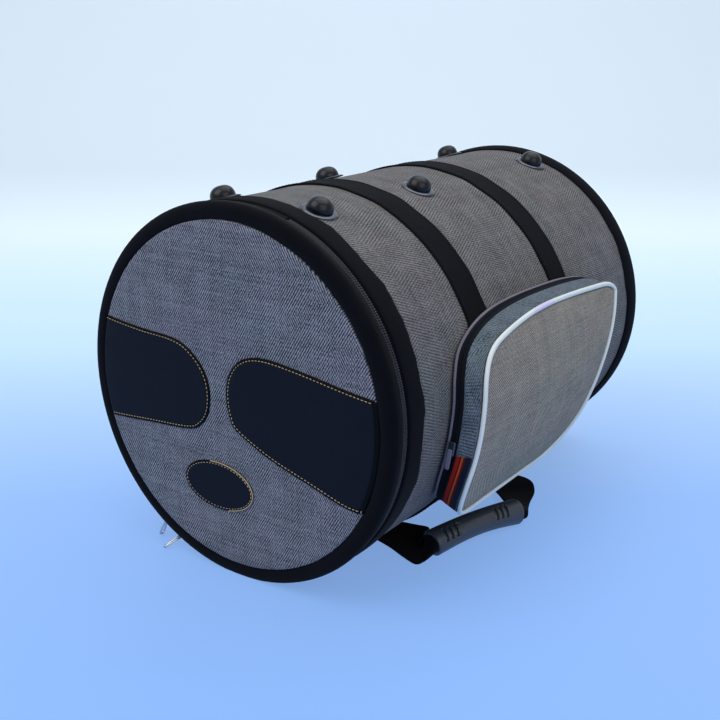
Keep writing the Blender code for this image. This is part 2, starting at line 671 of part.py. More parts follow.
# Outlines of the pocket at the barrel and at its front, clockwise from the lid side's top corner:
# shares of the pocket's width along the barrel, and of its height down the barrel.
POCKET_BACK_SHARES = ((0.143, -0.021), (0.260, -0.068), (0.400, -0.085), (0.580, -0.083), (0.780, -0.066),
                      (0.920, -0.028), (0.985, 0.040), (0.990, 0.130), (0.960, 0.270), (0.880, 0.510),
                      (0.800, 0.760), (0.730, 0.870), (0.620, 0.945), (0.460, 0.955), (0.250, 0.955),
                      (0.105, 0.955), (0.040, 0.925), (0.005, 0.840), (-0.018, 0.740), (-0.027, 0.590),
                      (-0.024, 0.450), (-0.014, 0.330), (0.000, 0.190), (0.045, 0.065))
POCKET_FRONT_SHARES = ((0.127, 0.054), (0.260, 0.018), (0.420, 0.000), (0.600, 0.003), (0.800, 0.022),
                       (0.930, 0.040), (0.985, 0.085), (0.975, 0.150), (0.935, 0.280), (0.850, 0.510),
                       (0.770, 0.740), (0.700, 0.850), (0.600, 0.922), (0.460, 0.930), (0.250, 0.928),
                       (0.090, 0.928), (0.030, 0.895), (-0.012, 0.810), (-0.030, 0.690), (-0.023, 0.550),
                       (-0.014, 0.420), (-0.004, 0.310), (0.015, 0.190), (0.055, 0.105))


def pocket_height():
    """The pocket's height along the barrel's surface."""
    return math.radians(POCKET_BOTTOM_ANGLE - POCKET_TOP_ANGLE) * BARREL_RADIUS


def closed_curve(points):
    """A closed curve through the points (Catmull-Rom), with one more point halfway along each span."""
    result = []
    count = len(points)
    for i, point in enumerate(points):
        before, after = points[i - 1], points[(i + 1) % count]
        beyond = points[(i + 2) % count]
        result.append(point)
        result.append((9 * (point + after) - before - beyond) / 16)
    return result


def mixed_outline(share, inset):
    """The pocket's outline between the back one (0) and the front one (1), moved in by an inset."""
    share = min(share, 1)
    corners = []
    for back, front in zip(POCKET_BACK_SHARES, POCKET_FRONT_SHARES):
        mixed = Vector(back).lerp(Vector(front), share)
        corners.append(Vector((mixed.x * POCKET_WIDTH, mixed.y * pocket_height())))
    curve = closed_curve(corners)
    outline = []
    for i, point in enumerate(curve):
        along = (curve[(i + 1) % len(curve)] - curve[i - 1]).normalized()
        outline.append(point + Vector((-along.y, along.x)) * inset)
    return outline


def pocket_point(flat, radius):
    """A point of a pocket outline laid on the cylinder of this radius."""
    angle = POCKET_TOP_ANGLE + math.degrees(flat.y / BARREL_RADIUS)
    return on_bag(radius, angle, LID_Y + POCKET_FROM_LID + flat.x)


def pocket_wall(name, low, high, thickness, finish):
    """A stretch of the pocket's side wall from one height above the barrel to another."""
    bottom, top = low / POCKET_DEPTH, high / POCKET_DEPTH
    loops = []
    for share, inset in ((bottom, 0), (top, 0), (top, thickness), (bottom, thickness)):
        radius = POCKET_FLOOR + share * POCKET_DEPTH
        loops.append([pocket_point(flat, radius) for flat in mixed_outline(share, inset)])
    sections = [list(section) for section in zip(*loops)]
    return add_piece(name, swept_mesh(sections, closed=True), finish)


def pocket_tube(name, height, inset, radius, finish):
    """A round cord along the pocket's outline."""
    share = height / POCKET_DEPTH
    path = [pocket_point(flat, POCKET_FLOOR + height) for flat in mixed_outline(share, inset)]
    sections = []
    for i, point in enumerate(path):
        along = (path[(i + 1) % len(path)] - path[i - 1]).normalized()
        out = Vector((point.x, 0, point.z - AXIS_HEIGHT)).normalized()
        side = along.cross(out).normalized()
        out = side.cross(along)
        ring = []
        for step in range(POCKET_CORD_SIDES):
            turn = step * math.tau / POCKET_CORD_SIDES
            ring.append(point + (out * math.cos(turn) + side * math.sin(turn)) * radius)
        sections.append(ring)
    return add_piece(name, swept_mesh(sections, closed=True), finish)


def pocket_heights():
    """Heights above the barrel where the pocket's stacked pieces start and end."""
    cord_top = POCKET_SEAM_CORD * 2
    zip_start = cord_top + SEAT_GAP
    zip_line = zip_start + POCKET_ZIP_HALF + POCKET_ZIP_OPENING / 2
    gusset_start = zip_line + POCKET_ZIP_OPENING / 2 + POCKET_ZIP_HALF + SEAT_GAP
    return zip_start, zip_line, gusset_start


def make_pocket():
    """The pocket: seam cord and zip on the barrel, and the walls, front and piping that open."""
    zip_start, zip_line, gusset_start = pocket_heights()
    pocket_tube("pocket_seam_cord", POCKET_SEAM_CORD, POCKET_WALL / 2, POCKET_SEAM_CORD, "grey_cord")
    pocket_wall("pocket_zip_barrel", zip_start, zip_line - POCKET_ZIP_OPENING / 2, POCKET_WALL, "black_nylon")
    pocket_wall("pocket_zip_flap", zip_line + POCKET_ZIP_OPENING / 2, gusset_start - SEAT_GAP,
                POCKET_WALL, "black_nylon")
    pocket_wall("pocket_gusset", gusset_start, POCKET_DEPTH, POCKET_WALL, "blue_grey_fabric")
    piping_height = POCKET_DEPTH + SEAT_GAP + POCKET_PIPING
    pocket_tube("pocket_piping", piping_height, POCKET_PIPING, POCKET_PIPING, "white_piping")
    make_pocket_front(POCKET_DEPTH + SEAT_GAP)


def make_pocket_front(height):
    """The pocket's front panel: a crowned plate inside the piping."""
    inset = POCKET_PIPING * 2 + SEAT_GAP
    edge = mixed_outline(1, inset)
    middle = Vector((sum(p.x for p in edge) / len(edge), sum(p.y for p in edge) / len(edge)))
    shape = bmesh.new()
    loops = []
    for lift in (0, FABRIC + POCKET_PIPING / 2):
        rings = []
        for share in (1.0, 0.80, 0.45):
            crown = POCKET_FRONT_CROWN * (1 - share ** 3)
            ring = [pocket_point(middle.lerp(p, share), POCKET_FLOOR + height + lift + crown) for p in edge]
            rings.append([shape.verts.new(point) for point in ring])
        centre = pocket_point(middle, POCKET_FLOOR + height + lift + POCKET_FRONT_CROWN)
        rings.append([shape.verts.new(centre)])
        loops.append(rings)
    for rings in loops:
        for outer, inner in zip(rings, rings[1:]):
            skin_ring(shape, outer, inner)
    skin_ring(shape, loops[0][0], loops[1][0])
    mesh = bpy.data.meshes.new("pocket_front")
    shape.to_mesh(mesh)
    shape.free()
    add_piece("pocket_front", mesh, "grey_fabric")


def skin_ring(shape, outer, inner):
    """Faces between two closed rows of points, or from a row to its centre point."""
    count = len(outer)
    for i in range(count):
        j = (i + 1) % count
        if len(inner) == 1:
            shape.faces.new((outer[i], outer[j], inner[0]))
        else:
            shape.faces.new((outer[i], outer[j], inner[j], inner[i]))


def make_stripe():
    """The striped webbing tab at the lower corner of the pocket's lid side."""
    _, _, gusset_start = pocket_heights()
    loops = []
    for height, off in ((gusset_start, SEAT_GAP), (POCKET_DEPTH - SEAT_GAP, SEAT_GAP),
                        (POCKET_DEPTH - SEAT_GAP, SEAT_GAP + STRIPE_THICKNESS),
                        (gusset_start, SEAT_GAP + STRIPE_THICKNESS)):
        outline = mixed_outline(height / POCKET_DEPTH, -off)[STRIPE_POINTS[0]:STRIPE_POINTS[1]]
        loops.append([pocket_point(flat, POCKET_FLOOR + height) for flat in outline])
    sections = [list(section) for section in zip(*loops)]
    add_piece("stripe_tab", swept_mesh(sections, closed=False), "striped_webbing")


def wall_edge_at(along, share):
    """How far the pocket's lid-side wall is from the pocket's origin line, at this height down it."""
    outline = mixed_outline(share, 0)
    best = None
    for first, second in zip(outline, outline[1:] + outline[:1]):
        low, high = sorted((first.y, second.y))
        if low <= along <= high and high > low:
            x = first.x + (second.x - first.x) * (along - first.y) / (second.y - first.y)
            if best is None or x < best:
                best = x
    return best


def make_pocket_slider():
    """The pocket's zip slider on the lid-side wall, and its pull lying along the zip."""
    _, zip_line, _ = pocket_heights()
    angle = POCKET_PARK_ANGLE
    along = math.radians(angle - POCKET_TOP_ANGLE) * BARREL_RADIUS
    low, high = zip_line - POCKET_SLIDER_WIDTH / 2, zip_line + POCKET_SLIDER_WIDTH / 2
    ends = (along - POCKET_SLIDER_LENGTH / 2, along + POCKET_SLIDER_LENGTH / 2)
    edge = min(wall_edge_at(end, height / POCKET_DEPTH) for end in ends for height in (low, high))
    radius = POCKET_FLOOR + zip_line
    reach = POCKET_SLIDER_THICKNESS / 2
    y = LID_Y + POCKET_FROM_LID + edge - SEAT_GAP - reach
    up = Vector((0, -1, 0))
    centre = on_bag(radius, angle, y)
    out = Vector((math.sin(math.radians(angle)), 0, math.cos(math.radians(angle))))
    run = out.cross(up)
    body = box_sections(centre, run, out, up, POCKET_SLIDER_LENGTH / 2, POCKET_SLIDER_WIDTH / 2, reach, SEAT_GAP * 3)
    add_piece("pocket_slider", swept_mesh(body, closed=False), "nickel")
    half = POCKET_PULL_THICKNESS / 2
    lifted = centre + up * (reach + SEAT_GAP + half)
    down = run if run.z < 0 else -run
    middle = down * (POCKET_PULL_LENGTH / 2)
    tab = box_sections(middle, run, out, up, POCKET_PULL_LENGTH / 2, POCKET_PULL_WIDTH / 2, half, SEAT_GAP * 3)
    pull = add_piece("pocket_pull", swept_mesh(tab, closed=False), "nickel")
    pull.location = lifted


def smooth_path(points, count):
    """Points on a smooth curve through the given points."""
    knots = [points[0]] + list(points) + [points[-1]]
    path = []
    for share in np.linspace(0, len(points) - 1.000001, count):
        i = int(share)
        t = share - i
        p0, p1, p2, p3 = (Vector(knots[i + k]) for k in range(4))
        path.append(0.5 * (2 * p1 + (p2 - p0) * t + (2 * p0 - 5 * p1 + 4 * p2 - p3) * t * t
                           + (3 * p1 - p0 - 3 * p2 + p3) * t ** 3))
    return path


def grip_path(count):
    """The grip's centre line: arched a little off the floor, with both ends on it."""
    low = GRIP_RADIUS - GRIP_WAIST
    start = Vector((GRIP_START[0], LID_Y + GRIP_START[1], low))
    finish = Vector((GRIP_END[0], LID_Y + GRIP_END[1], low))
    return [start.lerp(finish, share) + Vector((0, 0, GRIP_ARCH * math.sin(math.pi * share)))
            for share in np.linspace(0, 1, count)]


def round_sections(path, radii, sides):
    """Round sections square to a path."""
    sections = []
    for i, point in enumerate(path):
        before, after = path[max(i - 1, 0)], path[min(i + 1, len(path) - 1)]
        along = (after - before).normalized()
        side = along.cross(Vector((0, 0, 1))).normalized()
        up = side.cross(along)
        turns = [k * math.tau / sides for k in range(sides)]
        sections.append([point + (side * math.cos(turn) + up * math.sin(turn)) * radii[i] for turn in turns])
    return sections


def make_grip():
    """The moulded grip: a waisted sleeve with two groups of three shallow slots."""
    count = 13
    path = grip_path(count)
    radii = [GRIP_RADIUS - GRIP_WAIST * math.sin(math.pi * i / (count - 1)) for i in range(count)]
    radii[0] -= GRIP_WAIST
    radii[-1] -= GRIP_WAIST
    outer = add_piece("handle_grip", swept_mesh(round_sections(path, radii, GRIP_SIDES), closed=False), "moulded_black")
    bore_path = grip_path(count)
    along = (path[-1] - path[0]).normalized()
    bore_path[0] -= along * GRIP_WALL
    bore_path[-1] += along * GRIP_WALL
    bore_radius = GRIP_RADIUS - GRIP_WAIST - GRIP_WALL
    bore = swept_mesh(round_sections(bore_path, [bore_radius] * count, FOOT_STEPS), closed=False)
    cut_with(outer, "grip_bore_cutter", bore)
    for group, share in zip(("near", "far"), SLOT_GROUP_SHARES):
        for step in (-1, 0, 1):
            place = path[0].lerp(path[-1], share) + along * step * SLOT_PITCH
            arch = GRIP_ARCH * math.sin(math.pi * share)
            out = along.cross(Vector((0, 0, 1))).normalized()
            face = (out + Vector((0, 0, 1))).normalized()
            turned_side = along.cross(face)
            waist = GRIP_WAIST * math.sin(math.pi * share)
            centre = place + Vector((0, 0, arch)) + face * (GRIP_RADIUS - waist)
            slot = box_sections(centre, turned_side, along, face,
                                SLOT_LENGTH / 2, SLOT_WIDTH / 2, SLOT_DEPTH, SLOT_WIDTH / 3)
            cut_with(outer, f"slot_cutter_{group}_{step + 2}", swept_mesh(slot, closed=False))


def cut_with(piece, name, mesh):
    """Cut a mesh out of a piece."""
    shape = bmesh.new()
    shape.from_mesh(mesh)
    bmesh.ops.recalc_face_normals(shape, faces=shape.faces)
    shape.to_mesh(mesh)
    shape.free()
    tool = bpy.data.objects.new(name, mesh)
    COLLECTIONS["cutters"].objects.link(tool)
    tool.hide_render = True
    tool.display_type = "WIRE"
    cut = piece.modifiers.new(name, "BOOLEAN")
    cut.operation = "DIFFERENCE"
    cut.object = tool


def ribbon(name, stations, count, first_along, last_along):
    """A webbing strap swept along stations of (centre, across, width, thickness), square at both ends."""
    centres = smooth_path([s[0] for s in stations], count)
    acrosses = smooth_path([s[1] for s in stations], count)
    sizes = smooth_path([(s[2], s[3], 0) for s in stations], count)
    sections = []
    for i, centre in enumerate(centres):
        before, after = centres[max(i - 1, 0)], centres[min(i + 1, count - 1)]
        along = (after - before).normalized()
        if i < 2:
            along = first_along
        elif i >= count - 2:
            along = last_along
        across = (acrosses[i] - along * acrosses[i].dot(along)).normalized()
        up = along.cross(across)
        w, t = across * sizes[i].x / 2, up * sizes[i].y / 2
        sections.append([centre + w + t, centre - w + t, centre - w - t, centre + w - t])
    return add_piece(name, swept_mesh(sections, closed=False), "black_webbing", pressed=True)


def handle_pivot_height():
    """The middle of the webbing where it is sewn against the bands, just under them."""
    under_band = AXIS_HEIGHT - math.sqrt(BAND_OUTER ** 2 - HANDLE_PIVOT_X ** 2)
    return under_band - SEAT_GAP - WEBBING_THICKNESS / 2


def make_straps():
    """The handle's webbing: a leg at each end and the folded core inside the grip."""
    path = grip_path(13)
    near_along = (path[1] - path[0]).normalized()
    far_along = (path[-1] - path[-2]).normalized()
    core_start = path[0] - near_along * GRIP_WALL
    core_end = path[-1] + far_along * GRIP_WALL
    core = [core_start] + path[1:-1] + [core_end]
    stations = [(p, Vector((0, 0, 1)), CORE_WIDTH, CORE_THICKNESS) for p in core]
    ribbon("handle_core", stations, 13, near_along, far_along)
    low = WEBBING_THICKNESS / 2 + REST_PRESS
    root = Vector((HANDLE_PIVOT_X, LID_Y, handle_pivot_height()))
    outward = Vector((1, 0, 0))
    lengthwise = Vector((0, 1, 0))
    upright = Vector((0, 0, 1))
    width, thick = WEBBING_WIDTH, WEBBING_THICKNESS
    near_end = core_start - near_along * SEAT_GAP * 2
    far_end = core_end + far_along * SEAT_GAP * 2
    front_root = root + lengthwise * BAND_FROM_LID[0]
    rear_root = root + lengthwise * BAND_FROM_LID[1]
    out_share, aside_share = NEAR_LEG_SHARES
    leg = Vector((front_root.x + out_share * width, front_root.y - aside_share * width, low))
    back_share, side_share, lift_share = NEAR_FOLD_SHARES
    fold = near_end - near_along * back_share * width - outward * side_share * width
    fold.z = low + lift_share * GRIP_RADIUS
    front = [(front_root, lengthwise, width, thick),
             (leg, lengthwise, width, thick),
             (fold, lengthwise + outward * FOLD_TURN_SHARE, width * FOLD_WIDTH_SHARE, thick),
             (near_end - near_along * CORE_THICKNESS, upright, CORE_WIDTH, CORE_THICKNESS),
             (near_end, upright, CORE_WIDTH, CORE_THICKNESS)]
    ribbon("handle_strap_front", front, 14, outward, near_along)
    leg = rear_root + outward * FAR_LEG_SHARE * width
    leg.z = low
    back_share, side_share, lift_share = FAR_FOLD_SHARES
    fold = far_end + far_along * back_share * width - outward * side_share * width
    fold.z = low + lift_share * GRIP_RADIUS
    rear = [(rear_root, lengthwise, width, thick),
            (leg, lengthwise, width, thick),
            (fold, lengthwise * FOLD_TURN_SHARE + upright, width * FOLD_WIDTH_SHARE, thick),
            (far_end + far_along * CORE_THICKNESS, upright, CORE_WIDTH, CORE_THICKNESS),
            (far_end, upright, CORE_WIDTH, CORE_THICKNESS)]
    ribbon("handle_strap_rear", rear, 16, outward, -far_along)


def hang_on_joint(name, place, pieces):
    """Put an empty on a joint's axis to carry the pieces that turn about it, with their cutters."""
    joint = bpy.data.objects.new(name, None)
    COLLECTIONS["joints"].objects.link(joint)
    joint.location = place
    carried = [bpy.data.objects[piece] for piece in pieces]
    for piece in list(carried):
        carried += [modifier.object for modifier in piece.modifiers if modifier.type == "BOOLEAN"]
    for obj in carried:
        obj.parent = joint
        obj.matrix_parent_inverse = Matrix.Translation(-place)


def make_joints():
    """The empties on the joint axes. Those of the two pulls and the pocket's pull are their own origins."""
    lid = ("lid_panel", "lid_foam", "lid_lining", "lid_binding", "lid_gusset", "zip_tape_lid", "zip_teeth_lid",
           "hinge_web_lid", "patch_left", "patch_right", "patch_oval")
    hang_on_joint("lid_hinge_joint", Vector((0, ZIP_Y, AXIS_HEIGHT + BARREL_RADIUS)), lid)
    _, zip_line, _ = pocket_heights()
    flap = ("pocket_front", "pocket_piping", "pocket_gusset", "pocket_zip_flap", "stripe_tab")
    hang_on_joint("pocket_flap_joint", on_bag(POCKET_FLOOR + zip_line, POCKET_HINGE_ANGLE, 0), flap)
    hang_on_joint("pocket_zip_joint", Vector((0, 0, AXIS_HEIGHT)), ("pocket_slider",))
    handle = ("handle_grip", "handle_core", "handle_strap_front", "handle_strap_rear")
    hang_on_joint("handle_joint", Vector((HANDLE_PIVOT_X, 0, handle_pivot_height())), handle)


def make_bag():
    """Build every piece of the bag."""
    clear_scene()
    make_collections()
    make_barrel()
    make_base()
    make_mouth()
    make_hinge()
    make_lid()
    make_patches()
    make_bands()
    make_feet()
    make_sliders()
    make_pocket()
    make_stripe()
    make_pocket_slider()
    make_grip()
    make_straps()
    make_joints()


make_bag()
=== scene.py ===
# %% [markdown]
# # A padded drum bag, dressed round its CAD frame
#
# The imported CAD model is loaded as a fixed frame. It says where everything is, and how the lid, the
# pocket, the zip sliders and the handle move. This script makes what the eye sees: woven cloth, leather,
# webbing, zips, piping and foot studs. Everything is in metres. The bag lies on its side with its lid
# towards -Y, its pocket towards +X and its floor at Z = 0.

# %% Load the frame
import math

import bmesh
import bpy
import numpy as np
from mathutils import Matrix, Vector


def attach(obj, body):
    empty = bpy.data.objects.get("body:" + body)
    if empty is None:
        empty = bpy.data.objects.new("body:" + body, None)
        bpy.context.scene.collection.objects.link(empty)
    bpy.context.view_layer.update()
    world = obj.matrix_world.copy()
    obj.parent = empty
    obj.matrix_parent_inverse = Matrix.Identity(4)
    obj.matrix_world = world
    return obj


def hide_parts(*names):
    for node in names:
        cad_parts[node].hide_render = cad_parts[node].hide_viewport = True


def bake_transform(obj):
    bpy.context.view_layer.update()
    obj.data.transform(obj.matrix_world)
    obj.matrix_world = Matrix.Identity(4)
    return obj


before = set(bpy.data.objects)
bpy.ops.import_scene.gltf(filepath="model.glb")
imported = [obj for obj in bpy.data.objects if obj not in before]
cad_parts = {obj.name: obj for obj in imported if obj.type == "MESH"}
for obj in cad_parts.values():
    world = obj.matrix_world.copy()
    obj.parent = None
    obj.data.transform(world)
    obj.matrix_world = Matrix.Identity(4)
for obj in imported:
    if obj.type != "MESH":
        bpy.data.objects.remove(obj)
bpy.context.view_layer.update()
print("CAD nodes:", len(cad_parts), "quick run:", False)

# %% [markdown]
# ## The sizes that the solids share
#
# A round bag is easiest to think of in its own coordinates: how far from the axis, what angle round it
# (counted from the top towards the pocket) and how far along it. These are the bag's main radii and
# stations, the same as in the solids.

# %% The bag's radii and stations
AXIS_HEIGHT = 0.1586
LID_Y = -0.233
BASE_Y = 0.233
BARREL_RADIUS = 0.159
SHELL_INNER = 0.1578
SHELL_START = -0.1958
SHELL_END = 0.2137
FOAM_OUTER = 0.1575
FOAM_INNER = 0.1495
LINING_INNER = 0.1480
ZIP_Y = -0.2163
BAND_INNER = 0.1593
BAND_OUTER = 0.1608
BAND_YS = (-0.0935, 0.0600)
BAND_WIDTH = 0.034
print("bag:", round(BASE_Y - LID_Y, 3), "long,", round(2 * BARREL_RADIUS, 3), "across")

# %% [markdown]
# ## Turning arrays into meshes
#
# Every new surface here is a grid of points worked out with numpy. `grid_mesh` joins the grid's
# neighbours into four-sided faces. A direction that closes on itself, like the way round a ring, has no
# seam: its last column joins its first. A UV map measured in metres goes with it, so that a weave keeps
# its true size wherever the surface goes.

# %% Grid to mesh
def grid_mesh(name, points, uv=None, closed_u=False, closed_v=False, cap_ends=False):
    """A mesh from points[i, j]. Corner (i, j) joins (i+1, j), (i+1, j+1) and (i, j+1), wrapping if closed."""
    points = np.asarray(points, float)
    rows, columns = points.shape[:2]
    u_faces = rows if closed_u else rows - 1
    v_faces = columns if closed_v else columns - 1
    i, j = np.meshgrid(np.arange(u_faces), np.arange(v_faces), indexing="ij")
    i, j = i.ravel(), j.ravel()
    corners_i = np.stack([i, i + 1, i + 1, i], -1)
    corners_j = np.stack([j, j, j + 1, j + 1], -1)
    faces = (corners_i % rows) * columns + corners_j % columns
    caps = []
    if cap_ends:
        ring = np.arange(columns)
        caps = [ring[::-1].tolist(), ((rows - 1) * columns + ring).tolist()]
    mesh = bpy.data.meshes.new(name)
    mesh.from_pydata(points.reshape(-1, 3).tolist(), [], faces.tolist() + caps)
    if uv is not None:
        uv = np.asarray(uv, float)
        loops = uv[corners_i, corners_j].reshape(-1, 2)
        ends = [uv[0, :columns][::-1], uv[rows - 1, :columns]] if caps else []
        loops = np.concatenate([loops] + ends)
        mesh.uv_layers.new(name="UVMap").data.foreach_set("uv", loops.astype(np.float32).ravel())
    mesh.update()
    return mesh


def face_outwards(mesh):
    """Turn every face outwards, by checking the sign of the enclosed volume (sum of corner determinants)."""
    shape = bmesh.new()
    shape.from_mesh(mesh)
    bmesh.ops.recalc_face_normals(shape, faces=shape.faces)
    if shape.calc_volume(signed=True) < 0:
        bmesh.ops.reverse_faces(shape, faces=shape.faces)
    shape.to_mesh(mesh)
    shape.free()


PIECES = {}


def make_piece(name, mesh, body, material, replaced=(), smooth_angle=40):
    """Put a mesh in the scene at the origin, ride it on its CAD body and hide the nodes it stands for."""
    face_outwards(mesh)
    piece = bpy.data.objects.new(name, mesh)
    bpy.context.scene.collection.objects.link(piece)
    mesh.shade_smooth()
    mesh.set_sharp_from_angle(angle=math.radians(smooth_angle))
    mesh.materials.clear()
    mesh.materials.append(material)
    if replaced:
        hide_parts(*replaced)
    if body:
        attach(piece, body)
    PIECES[name] = piece
    return piece


# %% [markdown]
# ## Working round the bag's axis
#
# `around` turns radius, angle and station into places. `turned` carries a closed outline of
# (radius, y) round the axis, which makes a ring with no seam. Its points can be pushed about by a
# function, for the small waves that sewn cloth always has.

# %% Round the axis
def around(radius, angle, y):
    """x = radius sin(angle), z = axis height + radius cos(angle). The angle is in radians from the top."""
    radius, angle, y = np.broadcast_arrays(radius, angle, y)
    return np.stack([radius * np.sin(angle), y, AXIS_HEIGHT + radius * np.cos(angle)], -1)


def waves(angle, y, seed, strength, scale=1.0):
    """Smooth uneven waves: a sum of sines of whole turns round the bag, with seeded phases."""
    random = np.random.RandomState(seed)
    total = np.zeros(np.broadcast(angle, y).shape)
    for turns, along in ((3, 9), (5, 17), (8, 26), (13, 41), (21, 60)):
        phase = random.uniform(0, math.tau, 2)
        weight = random.uniform(0.5, 1.0) / math.sqrt(turns)
        total += weight * np.sin(turns * scale * angle + phase[0]) * np.cos(along * scale * y + phase[1])
    return strength * total


def turned(profile, steps, push=None, span=None, press=True):
    """Points and UVs of an outline of (radius, y) pairs carried round the axis over span radians."""
    profile = np.asarray(profile, float)
    closed = span is None
    low, high = span or (0.0, math.tau)
    angles = np.linspace(low, high, steps, endpoint=not closed)
    angle, radius = np.meshgrid(angles, profile[:, 0], indexing="ij")
    _, y = np.meshgrid(angles, profile[:, 1], indexing="ij")
    if push:
        radius, y = push(radius, angle, y)
    points = around(radius, angle, y)
    if press:
        points[..., 2] = np.maximum(points[..., 2], 0.0)
    edges = np.linalg.norm(np.diff(np.vstack([profile, profile[:1]]), axis=0), axis=1)
    along = np.concatenate([[0.0], np.cumsum(edges)])
    turns = np.linspace(low, high, steps + 1) if closed else angles
    u, v = np.meshgrid(turns * BARREL_RADIUS, along, indexing="ij")
    return points, np.stack([u, v], -1)


def smooth_profile(corners, per_side, closed=True):
    """A Catmull-Rom curve through the corners, each span cut into per_side pieces."""
    corners = np.asarray(corners, float)
    count = len(corners)
    index = np.arange(count if closed else count - 1)
    pick = (lambda k: corners[k % count]) if closed else (lambda k: corners[np.clip(k, 0, count - 1)])
    p0, p1, p2, p3 = (pick(index + k)[:, None] for k in (-1, 0, 1, 2))
    t = np.arange(per_side)[None, :, None] / per_side
    curve = 0.5 * (2 * p1 + (p2 - p0) * t + (2 * p0 - 5 * p1 + 4 * p2 - p3) * t ** 2
                   + (3 * p1 - p0 - 3 * p2 + p3) * t ** 3)
    curve = curve.reshape(-1, corners.shape[1])
    return curve if closed else np.vstack([curve, corners[-1:]])


def divided(corners, longest):
    """The same straight-sided outline with extra points, so that no side is longer than longest."""
    corners = np.asarray(corners, float)
    after = np.roll(corners, -1, axis=0)
    parts = []
    for start, end in zip(corners, after):
        pieces = max(1, int(math.ceil(np.linalg.norm(end - start) / longest)))
        parts.append(start + (end - start) * np.linspace(0, 1, pieces, endpoint=False)[:, None])
    return np.vstack(parts)


# %% Tubes
def unit(vector):
    """The same direction with length 1. Works on one vector or on rows of them."""
    vector = np.asarray(vector, float)
    return vector / np.linalg.norm(vector, axis=-1, keepdims=True)


def tube_along(path, radius, sides, closed, up):
    """Rings of a circle square to a path: place + r (cos t * side + sin t * rise)."""
    if closed:
        along = np.roll(path, -1, axis=0) - np.roll(path, 1, axis=0)
    else:
        along = np.gradient(path, axis=0)
    along = unit(along)
    side = unit(np.cross(along, np.broadcast_to(up, path.shape)))
    rise = np.cross(side, along)
    turn = np.linspace(0, math.tau, sides, endpoint=False)
    radius = np.broadcast_to(np.asarray(radius, float), len(path))[:, None, None]
    return path[:, None] + radius * (side[:, None] * np.cos(turn)[None, :, None]
                                     + rise[:, None] * np.sin(turn)[None, :, None])


# %% A soft step
def soft_box(distance, half, edge):
    """1 inside half, 0 beyond half + edge, a smooth step between."""
    t = np.clip((half + edge - np.abs(distance)) / edge, 0, 1)
    return t * t * (3 - 2 * t)

# %% [markdown]
# ## Finishes
#
# All finishes are made of nodes, with nothing read from a picture. `Nodes` is a short way to write a
# node tree: each call adds one node, sets its numbers and wires its inputs. A plain number goes straight
# on the shader's own socket.

# %% A short way to write node trees
class Nodes:
    """One material's node tree, with its Principled shader ready."""

    def __init__(self, name, roughness, metallic=0.0, sheen=0.0, specular=0.5):
        """A new material with these shares of metal, sheen and shine."""
        self.material = bpy.data.materials.new(name)
        self.material.use_nodes = True
        self.tree = self.material.node_tree
        self.shader = self.tree.nodes["Principled BSDF"]
        for socket, value in (("Roughness", roughness), ("Metallic", metallic), ("Sheen Weight", sheen),
                              ("Specular IOR Level", specular)):
            self.shader.inputs[socket].default_value = value

    def add(self, kind, inputs=None, output=0, **settings):
        """A node of this kind. Its inputs are numbers, colours or other nodes' outputs."""
        node = self.tree.nodes.new("ShaderNode" + kind)
        for key, value in settings.items():
            setattr(node, key, value)
        for key, value in (inputs or {}).items():
            if isinstance(value, bpy.types.NodeSocket):
                self.tree.links.new(value, node.inputs[key])
            else:
                node.inputs[key].default_value = value
        return node.outputs[output]

    def math(self, operation, first, second=0.0):
        """One sum, product or comparison."""
        return self.add("Math", {0: first, 1: second}, operation=operation)

    def mix(self, share, first, second, blend="MIX"):
        """The first colour at share 0, the second at share 1."""
        return self.add("Mix", {0: share, 6: first, 7: second}, output=2, data_type="RGBA", blend_type=blend)

    def place(self, kind="UV", scale=(1, 1, 1), turn=0.0, shift=(0, 0, 0)):
        """Coordinates from the piece's UV map, in metres, or from the object."""
        start = self.add("TexCoord", output=2 if kind == "UV" else 3)
        return self.add("Mapping", {"Vector": start, "Scale": scale, "Rotation": (0, 0, turn), "Location": shift})

    def noise(self, where, scale, detail=3.0, roughness=0.55):
        """Smooth random values: scale is the number of bumps in a metre."""
        return self.add("TexNoise", {"Vector": where, "Scale": scale, "Detail": detail, "Roughness": roughness})

    def ramp(self, value, stops):
        """A colour ramp through (position, colour) stops."""
        output = self.add("ValToRGB", {0: value})
        elements = output.node.color_ramp.elements
        while len(elements) < len(stops):
            elements.new(0.5)
        for element, (position, colour) in zip(elements, stops):
            element.position = position
            element.color = (*colour, 1.0)
        return output

    def bump(self, height, distance, strength=1.0, normal=None):
        """Shading of a small relief: distance is its depth in metres. Bumps can be chained."""
        inputs = {"Height": height, "Distance": distance, "Strength": strength}
        if normal is not None:
            inputs["Normal"] = normal
        return self.add("Bump", inputs)

    def finish(self, colour, normal=None, roughness=None):
        """Wire the colour, the bumps and, where it varies, the roughness."""
        self.tree.links.new(colour, self.shader.inputs["Base Color"])
        if normal is not None:
            self.tree.links.new(normal, self.shader.inputs["Normal"])
        if roughness is not None:
            self.tree.links.new(roughness, self.shader.inputs["Roughness"])
        return self.material


# %% [markdown]
# ## Woven cloth
#
# Heavy bag cloth is a twill: each thread passes over two and under two of the others, and the step from
# row to row makes slanting ribs about 2.5 mm apart. Here the ribs are a sine of the sum of both thread
# counts, and a second set of ribs slants the other way in patches, as where light catches the other
# threads. Each thread has its own shade, because yarn is never even. Large soft patches add wear and dust.

